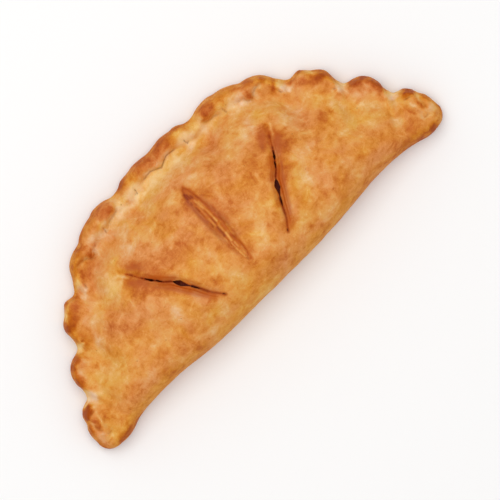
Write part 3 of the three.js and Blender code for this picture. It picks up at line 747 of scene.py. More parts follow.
# Paler patches: less browned dough, and in places painted highlights and painted light on shaded slopes.
PALE = [
    (6, 82.4, 8, 4, 4, 24), (20, 80.4, 14, 1.6, 18), (18.4, 82, 2, 2, 30), (17, 89.6, 1.8, 3.4, 14),
    (27, 86.6, 4.4, 3.6, 24), (28, 81.6, 4, 1.4, 26), (22, 86, 1.8, 3.4, 16),
    (45.6, 80.2, 2.6, 1.8, 10, 32), (53.4, 76.4, 3, 2.2, 30, 24), (50.6, 81.6, 3.4, 2, 14),
    (63, 77.4, 3, 0.9, 22), (73.2, 68.2, 2.4, 4.6, 15, 40), (74.6, 64.6, 3, 1.3, 34),
    (72.8, 71.6, 1.6, 2, 24), (89, 63.4, 1, 3.2, 40, 40), (94.8, 47.6, 2.8, 2.4, -20, 56),
    (97.6, 45.8, 2, 1, 20), (104.4, 37.4, 1.4, 3.4, 10, 20), (109.4, 26.4, 2.6, 3.4, -20, 56),
    (111.6, 24.2, 2.6, 1, 34), (114.3, 13.4, 0.9, 3, 8, 24), (119.6, 15, 0.9, 2.4, 8, 28),
    (120.6, 7, 2.4, 1.6, 12), (116.6, 3.6, 1.8, 1.2, 20), (40.8, 64.8, 4, 2.8, -10, 26),
    (37.6, 71.4, 1, 4.4, 35, 18), (61, 57, 5, 3.4, 26), (82, 54, 8, 5, -15, 18), (60, 67, 4, 5, 12),
    (88, 25, 8, 6, 20), (64, 38, 4, 2.4, 10), (56.4, 26, 5, 5, 20), (11.4, 23, 4.4, 8, 26),
    (75, 30, 5, 3.4, 20), (45, 7.6, 6, 5, 18), (101, 14, 4, 3, 10), (4, 76, 8, 4.6, 20), (2, 71, 4, 3, 20),
    (17, 69, 4, 2, 18), (33, 64.6, 3, 3, 14), (12, 51, 2, 5, 14), (62, 49, 5, 3, 20),
    (79, 50.6, 5, 2.4, 20), (86, 43, 3, 3, 18), (66, 38, 4, 3, 20), (56, 36, 4, 3, 14),
    (56, 19.6, 5, 3, 20), (65, 19, 4, 2, 20), (93, 22.6, 6, 3, 16), (79, 23, 5, 3, 16),
    (98, 24, 2.4, 4, 10), (116.6, 12.4, 1.2, 2, 16), (57, 77, 3, 1.6, 14), (31, 46.6, 3, 2, 12),
    (46, 21, 3, 3, 12), (17.8, 85.2, 4.2, 2.6, 40), (40, 82.6, 6, 1.5, 16), (5, 67, 5, 2.4, 14),
    (24.6, 62, 3.4, 1.8, 14), (64, 54, 6, 2.2, 16), (77, 47.4, 4, 2.4, 16), (84, 40, 1.8, 5, 14),
    (70, 27.6, 2.6, 2.6, 18), (92, 18.4, 3.4, 2.6, 20), (101, 12, 5, 2.6, 18), (104.6, 30.6, 2.2, 2.6, 20),
    (110.6, 20.4, 3, 2.4, 16), (15.6, 23.6, 3.6, 2.4, 18), (79, 69.4, 3.4, 1.5, 30),
    (87, 63, 3, 2.4, -30, 16), (58.4, 85.4, 1.8, 2, 20), (72, 52.4, 4, 2.2, 12), (27, 3, 5, 3, 12),
    (29.6, 84.6, 2.6, 2.4, 20), (53, 82.6, 4.4, 2.4, -20, 22), (66, 56, 4, 5, 20), (97, 42.6, 3.6, 3.4, 20),
    (96, 33, 4, 6, 14), (112.5, 23, 2.4, 2, 26), (8.6, 68, 5, 3, 14), (43, 84, 4, 1.6, 16),
    (85, 43, 2.6, 3.4, 24), (88, 38, 4, 4, 16), (53, 40, 3.4, 5, 20, 18), (44, 34, 3.4, 5, 20, 14),
    (46, 27, 3, 5, 20), (49, 22, 2.4, 3.4, 20), (30, 38, 3.4, 5, 10, 18), (19, 35, 5, 6, 14),
    (13, 32, 3, 4, 12), (23, 53, 2, 3.4, 20), (29, 59, 3, 3, 14), (7, 68, 2.4, 2.6, 14),
    (4.6, 64.6, 2.6, 3, 16), (17.6, 66.4, 1.6, 2.4, 12), (4, 34, 4, 3, 8), (48, 41, 2.6, 3, 16),
    (6, 86.9, 5, 0.9, 8, 22), (50.4, 88.4, 3.4, 1.4, -20, 14), (30, 90, 2, 1.6, 14),
    (107.6, 37, 1.4, 2.4, 10, 10), (28, 8, 4, 3.4, 16), (108, 39.6, 1.6, 3.2, 20, 20),
    (80.6, 65, 2.4, 1.6, 12), (36, 14, 2.4, 5, 10), (38, 30, 3, 2.4, 14), (40, 4, 2.6, 3.4, 18),
    (53, 16.4, 3, 2.4, 18), (82, 67.4, 2.4, 2, 24), (115, 24, 2, 1.2, -20, 24), (6, 17.6, 7, 2.6, 20),
    (57.6, 55, 2.4, 2.4, 12), (60.6, 76, 2.4, 1.8, 14), (108, 17, 2, 2.4, 12), (32, 22, 2, 3, 12),
    (95, 16, 2.4, 3, 8), (57, 32, 4, 3, 10), (95, 30, 6, 4, 14), (104, 24, 5, 3, 12), (62, 63, 6, 4, 12),
    (9.4, 50, 1.4, 4, 12),
]
# Pinches painted pale cream: paler dough, and painted light that lifts the shade in their tucks.
PALE_LIT_PINCHES = [
    (17.4, 85.4, 3.4, 2.2, 75), (19.6, 83.6, 2.2, 1.8, 50), (28, 82, 3.4, 1, 35),
    (95.4, 47, 2, 1.6, -20, 30), (111, 25, 1.8, 1, -20, 30), (115, 24, 1.2, 0.8, -20, 30),
    (88.4, 65.4, 1.6, 0.8, -35, 30),
]
# Streaks beside the slits, in the plan: line, half width, and amount in per cent. They are sauce stains and
# browning, and partly painted shade on the lips and walls that fall away into the slits.
SIDE_STAINS_AND_SHADE = [
    ([(51, 56.8), (49.6, 54.8), (48, 52), (46.6, 49.4), (44.2, 45.8)], 1, 90),
    ([(43, 44.2), (41, 41.4), (39.2, 39.6), (37, 37.6), (34.4, 33.6), (32, 29.8), (29.6, 25.6)], 1.3, 90),
    ([(29.6, 25.6), (27.6, 21.4), (25.8, 18.2), (24, 16), (22.3, 13.8)], 1, 85),
    ([(42, 40.8), (39.2, 37.2), (37, 33.4), (34.4, 29.4), (31.4, 25), (28.6, 20.6), (26, 17)], 2.4, 85),
    ([(39.4, 38.4), (37.8, 35.8), (35.8, 32.4), (34, 29.6)], 2, 95),
    ([(42.8, 46.4), (40, 43.2), (37.2, 40.4), (35, 38)], 1.9, 85),
    ([(35, 38), (32.4, 34.6), (30, 30.4), (27.6, 26)], 1.2, 45), ([(47.6, 58.6), (46.2, 57.2)], 2, 60),
    ([(53.7, 56), (55, 53.6), (56.2, 51.8)], 1, 35), ([(53.4, 53), (52.2, 51.2)], 1.8, 70),
    ([(45.2, 53.4), (44.6, 53)], 0.7, 60), ([(51, 50.8), (48.6, 48.6), (46, 44.6), (44, 42.4)], 2, 50),
]
# Mauve-brown beside the side slits: sauce, and painted shade on their sloped faces.
SIDE_MAUVES = [
    ([(52.4, 51.2), (49.8, 49.4), (48, 46.6)], 2.2, 45), ([(47.8, 58), (45, 56.4), (43.6, 54)], 2, 35),
    ([(44.8, 41.2), (41.6, 37), (38.4, 32.4), (35.6, 27.8), (32.6, 23), (29.2, 19)], 0.9, 45),
]
# Dark red lines along the side slits: burnt sauce, and painted shade where the lips close over the slit.
SIDE_SCORCH_AND_SHADE = [
    ([(50, 55.4), (49.4, 54.4)], 0.7, 60), ([(47, 50), (46.4, 49)], 0.6, 70),
    ([(46, 48.2), (43.8, 45.2), (42, 43.2), (40.2, 40.4), (37.2, 37.8)], 0.7, 85),
    ([(31, 28.6), (29, 24.6), (27.2, 20.8)], 0.8, 75), ([(27.2, 20.8), (25.4, 18), (23.4, 15.4)], 0.6, 50),
    ([(22.8, 14.4), (21.9, 13.2)], 0.8, 60),
]
# Orange-brown by the middle slit: sauce stains, and painted shade on its right wall and in its top wedge.
MIDDLE_STAINS_AND_SHADE = [
    ([(0.3, 68), (1.1, 65), (1.7, 61.6)], 1.1, 90), ([(-0.6, 67.4), (-1.3, 64.6), (-1.8, 61)], 1.1, 90),
    ([(0.1, 66.4), (0.3, 62), (0.4, 59.4)], 1, 60),
    ([(1.6, 61.6), (2.1, 57.4), (2.2, 52), (2.3, 48.4)], 0.7, 95),
    ([(1.8, 47), (2.5, 44), (2.6, 41.8), (2.4, 39.6)], 0.7, 85),
    ([(0.8, 33.4), (1, 30.4), (1.3, 27), (1.3, 24)], 0.9, 80),
    ([(1.3, 24), (0.8, 21), (0.3, 19), (-0.3, 17)], 0.9, 75), ([(1.7, 22.6), (2.2, 19.4)], 1.2, 45),
    ([(-0.4, 53.4), (-0.3, 50), (-0.3, 46), (-0.4, 43.6), (-0.9, 41)], 0.5, 80),
    ([(-1.8, 54), (-1.6, 49.4)], 0.5, 70), ([(-2.1, 46.4), (-2.1, 42.4)], 0.5, 50),
    ([(-1.7, 35), (-1.6, 31.6)], 0.6, 60), ([(3.6, 49.8), (3.9, 48.8)], 0.7, 60),
    ([(3.1, 47.9), (3.3, 47.1)], 0.5, 80), ([(-3.2, 33), (-2.9, 30)], 0.7, 40),
    ([(-3, 24), (-3.1, 21)], 0.9, 35), ([(1, 40.4), (1.5, 37)], 0.9, 50), ([(4.5, 45), (4.3, 41)], 1.2, 40),
    ([(-1.2, 52), (-1.3, 48)], 0.6, 40), ([(0.3, 60.4), (0.4, 58.6)], 0.6, 60),
    ([(-2.6, 40.4), (-2.4, 38)], 0.7, 60), ([(-0.9, 59.8), (-1.1, 56.6)], 0.5, 50),
]
# Mauve-brown in the middle slit: painted shade on its sloped left wall, and sauce.
MIDDLE_MAUVES = [
    ([(-2.9, 61), (-3.1, 56), (-3.3, 50), (-3.1, 46)], 1.2, 85),
    ([(-3.4, 46), (-3.8, 43), (-3.8, 40), (-3.3, 35)], 1.5, 50), ([(3.3, 58), (3.4, 52), (3.4, 48)], 1, 50),
    ([(3.6, 46), (3.9, 43), (3.6, 38)], 1.2, 50), ([(2.9, 34), (2.7, 30)], 1.2, 30),
    ([(-3.8, 30), (-3.6, 24)], 1, 25), ([(-1.7, 31), (-1.7, 26.6)], 0.6, 35),
]
# Dark red spots in the middle slit: burnt sauce, and painted shade in its gaps and top wedge.
MIDDLE_SCORCH_AND_SHADE = [
    ([(-1.7, 64.6), (-1.9, 61.8)], 0.8, 80), ([(-0.9, 63.8), (-0.8, 61)], 0.6, 80),
    ([(-0.1, 61.9), (0.1, 60.8)], 0.8, 70), ([(-2.4, 61.4), (-2.5, 60.6)], 0.5, 35),
    ([(-2, 59.2), (-2.1, 58.2)], 0.6, 45), ([(-1.9, 55.5), (-1.9, 53)], 0.5, 35),
    ([(-0.8, 57.2), (-0.9, 56.4)], 0.5, 35), ([(1.6, 60), (1.9, 58.4)], 0.6, 35),
    ([(-0.3, 46), (-0.4, 43)], 0.5, 35), ([(-2.3, 43.9), (-2.5, 42.4)], 0.5, 35),
    ([(2.5, 43.8), (2.6, 42.6)], 0.6, 30), ([(-1.3, 40.6), (-1.4, 36.5), (-1.6, 35)], 0.65, 70),
    ([(1, 32.2), (1.1, 30.8)], 0.8, 30), ([(-1.4, 18.5), (-1.3, 17.8)], 0.5, 35),
]
STRIPE = 1.4  # between the stripes in the stains beside a side slit


def streaked(x, y, streaks):
    """How strongly streaks mark points of the plan, from 0 to 1."""
    strength = np.zeros(np.shape(x))
    for line, half_width, amount in streaks:
        strength = np.maximum(strength, amount / 100 * bump(beside(x, y, line)[0], half_width))
    return strength


# Where less flour was left on the dough it browned to a rosier tan, and elsewhere it went more golden.
ROSY = [
    (12, 58, 9, 12, 50), (41, 58, 7, 9, 80), (28, 60, 12, 9, 40), (58, 38, 10, 5, 10, 40),
    (70, 44, 11, 5, 40), (76, 10, 14, 4, 50), (71, 19, 9, 5, 40), (5, 40, 4, 10, 50), (14, 32, 4, 6, 30),
    (48, 24, 4, 6, 40), (28, 76, 4, 4, 40), (43, 77, 5, 2.4, 50), (8, 92, 9, 2, 20), (36, 89.6, 6, 3, 70),
    (55, 83, 6, 4, -20, 50), (77, 67, 6, 2.4, 70), (82, 65, 4, 2, 50), (20, 22, 9, 6, 40),
    (33, 21, 5, 4, 40), (38.4, 35, 4, 3, 50, 40), (49, 48, 5, 4, 40), (100, 40, 4, 5, 40),
    (82, 64, 5, 3.4, 50), (112, 24, 3, 2, 90), (36, 33, 3, 5, -30, 50), (35, 49, 9, 4, 40),
    (36, 87, 3.4, 2, 50), (25, 72, 3.4, 3, 60), (30, 17, 5, 4, 40), (3.6, 46, 3, 3, 40),
    (66, 36, 10, 3, 30), (46, 43, 2, 4, -30, 40), (84, 8, 9, 4, 30), (3, 32, 3, 6, 30),
    (120, 15, 1.6, 3, 50), (73.6, 67, 3, 5, 50), (95.6, 47.2, 3.4, 3, 50), (110, 25, 3.6, 3.6, 60),
    (105.4, 36.6, 2, 5, 50), (120.6, 7, 3, 2.4, 60), (18, 84, 4, 3, 60), (53, 79, 4, 3, 50),
]
GOLDEN = [
    (94, 26, 12, 9, 40), (90, 37, 5, 6, 70), (5, 82.4, 10, 3, 100), (14, 77.4, 9, 3, 70),
    (24, 85.4, 4, 2, 50), (42, 84, 4, 2, 50), (72, 74, 3, 4, 60), (94, 55, 3, 5, 50),
    (107.4, 41, 3, 6, 20, 20), (118, 21, 4, 4, 20), (40, 9, 10, 4, 40), (50, 2, 8, 3, 40),
    (30, 33, 5, 5, 50, 50), (54, 64, 4, 6, 50), (62, 60, 5, 5, 50), (73, 56, 7, 3, 40), (84, 50, 8, 4, 40),
    (104, 18, 5, 5, 40), (72, 78, 2.4, 4, 30, 60), (93.4, 58, 3, 5, 70), (90, 46.4, 4, 3, 50),
    (85, 30, 5, 5, 40), (98, 1, 9, 1.8, 80), (111, -2, 7, 1.8, 80), (15, 89, 4, 3, 70), (50, 66, 3, 3, 50),
    (22, 36, 4, 3, 40), (28, 26, 2, 3, 40),
]


def mark(mesh, name, values):
    """Keeps a value for each point of a mesh, which its material reads."""
    attribute = mesh.attributes.new(name, "FLOAT", "POINT")
    attribute.data.foreach_set("value", values.astype(np.float32))


points = to_layout(points_of(crust.data))
x, y, z = points.T
right = abs(x)
s, inwards = section_through(x, y)
from_fold = s.width - inwards
at_rim = 1 - ease(inwards, 1, 6)
# Every patch has a wandering edge.
WANDER = 1.7
WANDER_SIZE = 5
PALEST, BROWNEST = -0.38, 0.55
patch_x = abs(x + WANDER * soft_noise(x, y, z, WANDER_SIZE, 4, 6))
patch_y = y + WANDER * soft_noise(x, y, z, WANDER_SIZE, 4, 7)
baked = (mounded(patch_x, patch_y, BROWNED) - mounded(patch_x, patch_y, PALE)) / 100
baked = np.clip(baked * (1 - 0.35 * ease(inwards, 14, 20)), PALEST, BROWNEST)
# The rim's outer edge browned more. The fold's outer edge is darker: browning, and painted shade where the
# fold turns down. The dough just inside the rim is paler: pale dough, and painted light on that slope.
baked += (0.11 - 0.05 * ease(right, 50, 66)) * at_rim - 0.03 * (1 - ease(inwards, 9, 14))
baked -= 0.14 * bump(inwards - 17, 8) * (1 - ease(right, 48, 68)) + 0.05 * bump(inwards - 12, 7)
baked += (0.1 - 0.03 * ease(from_fold, 4, 13) - 0.07 * ease(from_fold, 0, 5)) * ease(right, 46, 62)
rosy = (mounded(patch_x, patch_y, ROSY) - mounded(patch_x, patch_y, GOLDEN)) / 100
pale_lit_pinch = np.max([amount / 100 * oval_bump(right, y, *oval) for *oval, amount in PALE_LIT_PINCHES], axis=0)
# A golden band lies along the inner side of a side slit's top end, and a pale band on its outer side is a
# painted highlight on the ridge there.
GOLDEN_BAND = [(52.6, 60.6), (49.6, 57.4), (47.2, 53.6), (45, 50), (43.4, 47.2)]
PAINTED_HIGHLIGHT_BAND = [(54.8, 59.4), (53.3, 57.2), (52, 54.6)]
band = bump(beside(right, y, GOLDEN_BAND)[0], 1.4)
baked += band * (0.2 - 0.6 * baked) - 0.3 * bump(beside(right, y, PAINTED_HIGHLIGHT_BAND)[0], 0.8)
rosy -= 0.5 * band + (0.35 + 0.45 * ease(right, 58, 70)) * at_rim + 0.5 * (1 - ease(from_fold, 1, 7))
side_off = beside(right, y, SIDE_SLIT)[0]
middle_off = beside(x, y, MIDDLE_SLIT)[0]
baked += 0.18 * bump(middle_off, 6.5)
stripes = 1 + 0.12 * np.sin(2 * math.pi * side_off / STRIPE + 2 * soft_noise(x, y, z, 9, 2, 15))
# The deep walls of the slits are painted dark red: dried sauce, and painted shade in the slits.
deep = top_height(s, inwards) + relief(x, y) * ease(inwards, 0, 3) - z > 0.6
in_slits = deep & (z > 5) & ((abs(side_off) < 3) | (abs(middle_off) < 3.4))
scorch_and_shade = np.maximum(streaked(right, y, SIDE_SCORCH_AND_SHADE), streaked(x, y, MIDDLE_SCORCH_AND_SHADE))
# Each crease is painted dark along its line: painted shade in the crease.
crease_shade = np.zeros(len(points))
for line, _, half_width, dark in CREASES:
    off, share = beside(right, y, line)
    ends = ease(share, 0, 0.08) * (1 - ease(share, 0.85, 1))
    crease_shade = np.maximum(crease_shade, dark * bump(off, 0.5 * half_width) * (0.3 + 0.7 * ends))
marks = {
    "baked": baked,
    "rosy": rosy,
    "pale_lit_pinch": pale_lit_pinch,
    "stain_and_shade": np.maximum(streaked(right, y, SIDE_STAINS_AND_SHADE) * stripes, streaked(x, y, MIDDLE_STAINS_AND_SHADE)),
    "mauve": np.maximum(streaked(right, y, SIDE_MAUVES), streaked(x, y, MIDDLE_MAUVES)),
    "scorch_and_shade": np.where(in_slits, 0.8, scorch_and_shade),
    "crease_shade": crease_shade,
    "underside": ease(-z, -9, -1),
}
for name, values in marks.items():
    mark(crust.data, name, values)


def linear(hex_colour):
    """An sRGB hex colour as linear red, green, blue and alpha."""
    channels = [int(hex_colour[i : i + 2], 16) / 255 for i in (1, 3, 5)]
    return (*[c / 12.92 if c <= 0.04045 else ((c + 0.055) / 1.055) ** 2.4 for c in channels], 1)


def node(kind, inputs=None, output=0, **settings):
    """Adds a node to the tree at hand, sets or links its inputs by name or number, and gives an output."""
    made = tree.nodes.new("ShaderNode" + kind)
    for name, value in settings.items():
        setattr(made, name, value)
    for name, value in (inputs or {}).items():
        if isinstance(value, bpy.types.NodeSocket):
            tree.links.new(value, made.inputs[name])
        else:
            made.inputs[name].default_value = value
    return made.outputs[output] if made.outputs else None


def colour_stops(colour, stops):
    """Sets the stops of the ramp that gives a colour, from pairs of place and hex colour."""
    stops = list(stops)
    elements = colour.node.color_ramp.elements
    while len(elements) < len(stops):
        elements.new(0.5)
    for element, (place, shade) in zip(elements, stops):
        element.position = place
        element.color = linear(shade)


def fresh_material(name):
    """A new material, and its empty node tree."""
    made = bpy.data.materials.new(name)
    made.use_nodes = True
    made.node_tree.nodes.clear()
    return made, made.node_tree


def finish_with(piece, material, surface):
    """Ends a material with its surface, and gives it to a piece."""
    node("OutputMaterial", {"Surface": surface})
    piece.data.materials.clear()
    piece.data.materials.append(material)


# Lean wheat crust, baked in a hot oven: matt with a faint sheen, mottled where the skin blistered, with
# pinholes painted dark as painted shade. Browning runs from pale dough through gold and orange to
# red-brown.
METRE = 1000  # millimetres: a pattern's scale is this over the size of its features
# Colours of the slits: sauce that dried thinly, mauve-brown, and burnt sauce, each partly sauce and partly
# painted shade on the slits' walls, lips and closed stretches.
SAUCE_AND_SHADE = {"stain_and_shade": "#b2500e", "mauve": "#b05c34", "scorch_and_shade": "#7e2409"}
crust_material, tree = fresh_material("baked_wheat_crust_matt")
place = node("TexCoord", output="Object")
noise_inputs = {"Vector": place, "Roughness": 0.6, "Detail": 4.0}
broad = node("TexNoise", {**noise_inputs, "Scale": METRE / 34, "Distortion": 0.3})
blotch = node("TexNoise", {**noise_inputs, "Scale": METRE / 11, "Distortion": 0.6})
finer_inputs = {"Vector": place, "Roughness": 0.66, "Detail": 6.0}
smear = node("TexNoise", {**finer_inputs, "Scale": METRE / 6, "Distortion": 0.5})
fleck = node("TexNoise", {**noise_inputs, "Scale": METRE / 2.2, "Distortion": 0.2})
grain = node("TexNoise", {**noise_inputs, "Scale": METRE / 0.7})
flush = node("TexNoise", {**noise_inputs, "Scale": METRE / 30, "Distortion": 0.8})
marked = {name: node("Attribute", output="Fac", attribute_name=name) for name in marks}
tone = -0.27
for pattern, amount in [(broad, 0.5), (blotch, 0.52), (fleck, 0.3), (grain, 0.22)]:
    tone = node("Math", {0: pattern, 1: amount, 2: tone}, operation="MULTIPLY_ADD")
smears = node("MapRange", {"Value": smear, "From Min": 0.52, "From Max": 0.64, "To Max": 0.14})
tone = node("Math", {0: tone, 1: smears}, operation="ADD")
wisps = node("MapRange", {"Value": smear, "From Min": 0.46, "From Max": 0.36, "To Max": 0.13})
tone = node("Math", {0: tone, 1: wisps}, operation="SUBTRACT")
tone = node("Math", {0: marked["underside"], 1: 0.12, 2: tone}, operation="MULTIPLY_ADD")
tone = node("Math", {0: tone, 1: marked["baked"]}, operation="ADD", use_clamp=True)
TONES = [0, 0.18, 0.36, 0.5, 0.64, 0.8, 1]
GOLDEN_BROWNS = ["#eac88e", "#e4b56c", "#dba24c", "#d79038", "#cb7d24", "#ba6314", "#9f470b"]
ROSY_BROWNS = ["#e8c6a2", "#e2b78a", "#dba066", "#d88f51", "#cc7c3c", "#bb6228", "#a04618"]
golden = node("ValToRGB", {"Fac": tone})
colour_stops(golden, zip(TONES, GOLDEN_BROWNS))
rosy = node("ValToRGB", {"Fac": tone})
colour_stops(rosy, zip(TONES, ROSY_BROWNS))
# Pinholes: small pits, which are also painted dark brown as painted shade.
cells = node("TexVoronoi", {"Vector": place, "Scale": METRE / 5.5}, output="Distance")
pinhole = node("Math", {0: cells, 1: -11.0, 2: 1.0}, operation="MULTIPLY_ADD", use_clamp=True)
some = node("TexNoise", {**noise_inputs, "Scale": METRE / 9, "Detail": 1.0})
some = node("Math", {0: some, 1: 0.55}, operation="GREATER_THAN")
pinhole = node("Math", {0: pinhole, 1: some}, operation="MULTIPLY")
flushed = node("MapRange", {"Value": flush, "From Min": 0.36, "From Max": 0.66}, clamp=False)
flushed = node("Math", {0: flushed, 1: marked["rosy"]}, operation="ADD", use_clamp=True)
skin = node("Mix", {0: flushed, 6: golden, 7: rosy}, output=2, data_type="RGBA")
# Pale cream in the pinches is partly painted light; the sauce colours are partly painted shade in the
# slits.
for name, shade in {"pale_lit_pinch": "#f8dfa4", **SAUCE_AND_SHADE}.items():
    skin = node("Mix", {0: marked[name], 6: skin, 7: linear(shade)}, output=2, data_type="RGBA")
# Creases and pinholes are painted dark brown: painted shade in these hollows.
for shaded_hollow, amount, shade in [(marked["crease_shade"], 0.75, "#8a4a1c"), (pinhole, 0.7, "#8a4a22")]:
    share = node("Math", {0: shaded_hollow, 1: amount}, operation="MULTIPLY")
    skin = node("Mix", {0: share, 6: skin, 7: linear(shade)}, output=2, data_type="RGBA")
pores = node("Math", {0: pinhole, 1: -0.8}, operation="MULTIPLY")
pores = node("Math", {0: grain, 1: 0.28, 2: pores}, operation="MULTIPLY_ADD")
pores = node("Math", {0: fleck, 1: 0.5, 2: pores}, operation="MULTIPLY_ADD")
texture = node("Bump", {"Strength": 0.5, "Distance": 0.0005, "Height": pores})
gloss = node("Math", {0: blotch, 1: 0.2, 2: 0.46}, operation="MULTIPLY_ADD")
dough = node(
    "BsdfPrincipled",
    {
        "Base Color": skin,
        "Roughness": gloss,
        "Normal": texture,
        "IOR": 1.45,
        "Specular IOR Level": 0.08,
        "Subsurface Weight": 0.12,
        "Subsurface Radius": (0.0016, 0.0008, 0.0004),
        "Subsurface Scale": 1.0,
    },
)
finish_with(crust, crust_material, dough)
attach(crust, "root")
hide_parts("crust")

# ---- Filling ----
# Tomato sauce and molten mozzarella, spooned on before the dough was folded. It fills the pocket, lumpy on
# top, and has sunk under the side slits.

FILLING_GAP = 0.6  # between the filling and the pocket's walls
SUNK = 4.5  # under a side slit
filling = globe("filling_body", around=120, stations=160)
x, y, z = pocket_points(*places_on_globe(points_of(filling.data)), FILLING_GAP)
upper = ease(z, 12, 20)
z = z - SUNK * bump(beside(abs(x), y, SIDE_SLIT)[0], 7) * upper
z = z + (0.6 * soft_noise(x, y, z, 9, 3, 8) - 0.6) * upper
lay_out(filling, x, y, z)
close_up()
bpy.ops.object.shade_smooth()

# Tomato sauce, cooked down and moist: deep red-brown and glossy.
sauce_material, tree = fresh_material("cooked_tomato_sauce_moist")
place = node("TexCoord", output="Object")
noise_inputs = {"Vector": place, "Roughness": 0.6, "Detail": 3.0}
pulp = node("TexNoise", {**noise_inputs, "Scale": METRE / 5, "Distortion": 0.5})
colour = node("ValToRGB", {"Fac": pulp})
colour_stops(colour, [(0.3, "#a02a12"), (0.55, "#b8421c"), (0.75, "#cf7a3c")])
lumps = node("TexNoise", {**noise_inputs, "Scale": METRE / 2})
texture = node("Bump", {"Strength": 0.6, "Distance": 0.0006, "Height": lumps})
sauce = node("BsdfPrincipled", {"Base Color": colour, "Roughness": 0.45, "Normal": texture, "IOR": 1.36})
finish_with(filling, sauce_material, sauce)
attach(filling, "root")
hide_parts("filling")

# ---- Melted cheese in the middle slit ----
# Mozzarella that boiled up through the middle slit while it baked, and set there in glossy golden strands
# with cream-coloured streaks and painted highlights, browned and stained along the slit's sides, where
# painted shade lies too.

# Strands that stand up: their line in the plan, half width and height.
STRANDS = [
    ([(0.1, 59), (0.3, 54), (0.8, 50), (0.6, 44), (-0.3, 38), (-0.5, 33), (-1, 30.5)], 0.8, 0.8),
    ([(-1.1, 58), (-1.3, 50), (-1.4, 43)], 0.6, 0.6), ([(-1.8, 30), (-1.8, 20)], 0.6, 0.6),
    ([(-0.3, 30), (-0.6, 21)], 0.6, 0.4),
]
# Streaks of paler cheese with painted highlights on the strands: line, half width, and amount in per cent.
CREAM_AND_HIGHLIGHTS = [
    ([(-0.1, 58.8), (-0.1, 57.2)], 0.5, 50), ([(0.2, 56.2), (0.3, 53.2)], 1, 55),
    ([(0.9, 57), (1, 54.5)], 0.5, 50), ([(-1.4, 46.6), (-1.4, 42.6)], 0.6, 35),
    ([(-1.1, 52), (-1.1, 49.4)], 0.5, 20), ([(0.8, 52), (0.8, 46)], 0.5, 35),
    ([(0.7, 45.4), (0.6, 43.4)], 0.55, 85), ([(-0.3, 41), (-0.4, 38), (-0.3, 36)], 0.5, 35),
    ([(-0.3, 35.6), (-0.6, 33), (-0.9, 31)], 0.65, 90), ([(-1.8, 29.6), (-1.8, 27)], 0.6, 40),
    ([(-1.9, 26), (-2, 25.2)], 0.6, 70), ([(-1.8, 24), (-1.7, 19.6)], 0.65, 70),
    ([(-0.4, 29), (-0.7, 26.4)], 0.5, 45), ([(0.3, 25), (-0.6, 20.6)], 0.5, 35),
]
CHEESE_OVER = 0.6  # how far the cheese reaches past the gap, under the crust's edge
CHEESE_DEPTH = 11
CHEESE_SHARPEST = 60
cheese = thick_grid("melted_cheese", along=200, over=26, thickness=-1)
start = points_of(cheese.data)
share = (start[:, 0] + 1) / 2
on_top = start[:, 2] > -0.5
x, y, left_x, left_y = along_line(MIDDLE_SLIT, share)
half_gap = np.interp(share, MIDDLE_GAP_SHARE, MIDDLE_GAP) / 2
off = start[:, 1] * (half_gap + CHEESE_OVER)
x, y = x + left_x * off, y + left_y * off
rise = np.zeros(len(start))
lumps = 0.5 * soft_noise(x, y, rise, 4, 3, 11) + 0.25 * soft_noise(x, y, rise, 1.6, 2, 12)
for line, half_width, height in STRANDS:
    rise = np.maximum(rise, height * bump(beside(x, y, line)[0], half_width) * (1 + 0.4 * lumps))
# Inside the gap the cheese lies just over the crust's edge, and past it just under.
lip = 0.15 - 0.6 * ease(abs(off), half_gap, half_gap + CHEESE_OVER)
plain = top_height(*section_through(x, y))
z = np.where(on_top, plain + relief(x, y) + lip + rise + 0.3 * lumps, plain - CHEESE_DEPTH)
lay_out(cheese, x, y, z)
close_up()
cheese_marks = {
    "stain_and_shade": MIDDLE_STAINS_AND_SHADE,
    "mauve": MIDDLE_MAUVES,
    "cream_and_highlight": CREAM_AND_HIGHLIGHTS,
    "scorch_and_shade": MIDDLE_SCORCH_AND_SHADE,
}
for name, streaks in cheese_marks.items():
    mark(cheese.data, name, streaked(x, y, streaks))
only(cheese)
bpy.ops.object.shade_smooth_by_angle(angle=math.radians(CHEESE_SHARPEST))

# Browned mozzarella: golden, translucent and oily.
cheese_material, tree = fresh_material("browned_mozzarella_oily")
place = node("TexCoord", output="Object")
noise_inputs = {"Vector": place, "Roughness": 0.55, "Detail": 3.0}
curds = node("TexNoise", {**noise_inputs, "Scale": METRE / 6, "Distortion": 0.4})
colour = node("ValToRGB", {"Fac": curds})
colour_stops(colour, [(0.3, "#bc6014"), (0.5, "#c56d1e"), (0.72, "#cf8230")])
# The cheese takes the slit's colours, painted shade among them, and its cream colour holds painted
# highlights.
shades = {**SAUCE_AND_SHADE, "cream_and_highlight": "#e0a052"}
for name in cheese_marks:
    amount = node("Attribute", output="Fac", attribute_name=name)
    colour = node("Mix", {0: amount, 6: colour, 7: linear(shades[name])}, output=2, data_type="RGBA")
dimples = node("TexNoise", {**noise_inputs, "Scale": METRE / 1.6})
texture = node("Bump", {"Strength": 0.4, "Distance": 0.0004, "Height": dimples})
mozzarella = node(
    "BsdfPrincipled",
    {
        "Base Color": colour,
        "Roughness": 0.45,
        "Normal": texture,
        "IOR": 1.45,
        "Specular IOR Level": 0.2,
        "Subsurface Weight": 0.25,
        "Subsurface Radius": (0.0024, 0.0012, 0.0005),
        "Subsurface Scale": 1.0,
    },
)
finish_with(cheese, cheese_material, mozzarella)
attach(cheese, "root")
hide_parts("filling")

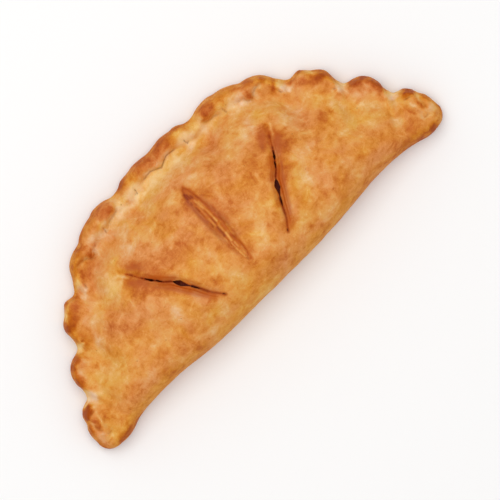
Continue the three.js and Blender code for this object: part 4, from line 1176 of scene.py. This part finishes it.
# ---- Studio ----
# A sheet of white paper, a softbox almost straight above and a little to the rim's side, soft light all
# round, and a camera that looks straight down.

bpy.ops.object.select_all(action="DESELECT")
bpy.ops.mesh.primitive_plane_add(size=6, location=(0, 0, 0))
floor = bpy.context.object
floor.name = "studio_floor"
floor_material, tree = fresh_material("matt_white_paper")
paper = node("BsdfPrincipled", {"Base Color": linear("#f4f3f1"), "Roughness": 0.9})
finish_with(floor, floor_material, paper)

world = bpy.data.worlds.new("studio_light")
bpy.context.scene.world = world
world.use_nodes = True
world.node_tree.nodes["Background"].inputs["Color"].default_value = linear("#f6f6f8")
world.node_tree.nodes["Background"].inputs["Strength"].default_value = 0.77

SOFTBOX_PLACE = (0.0, 0.25, 1.25)  # metres
SOFTBOX_SIZE = 1.1  # metres
SOFTBOX_WATTS = 8
bpy.ops.object.light_add(type="AREA", location=SOFTBOX_PLACE)
softbox = bpy.context.object
softbox.name = "overhead_softbox"
softbox.data.size = SOFTBOX_SIZE
softbox.data.energy = SOFTBOX_WATTS
softbox.rotation_euler = (-Vector(SOFTBOX_PLACE)).to_track_quat("-Z", "Y").to_euler()

FRAME_PIXELS = 500
PIXEL = 0.52  # millimetres of the object across one pixel of the frame, at the outline's height
OUTLINE_HEIGHT = 10
FRAME_MIDDLE = (2.15, 20.5)  # the layout's point in the middle of the frame
CAMERA_HEIGHT = 4  # metres
CAMERA_TURN = -45
SENSOR_WIDTH = 36
camera_data = bpy.data.cameras.new("camera")
camera = bpy.data.objects.new("camera", camera_data)
bpy.context.scene.collection.objects.link(camera)
camera.location = (FRAME_MIDDLE[0] * MM, (FRAME_MIDDLE[1] - LAYOUT_Y) * MM, CAMERA_HEIGHT)
camera.rotation_euler = (0, 0, math.radians(CAMERA_TURN))
camera_data.sensor_width = SENSOR_WIDTH
outline_distance = CAMERA_HEIGHT - OUTLINE_HEIGHT * MM
camera_data.lens = SENSOR_WIDTH * outline_distance / (FRAME_PIXELS * PIXEL * MM)
camera_data.clip_end = 20
bpy.context.scene.camera = camera
bpy.context.scene.view_settings.view_transform = "Standard"
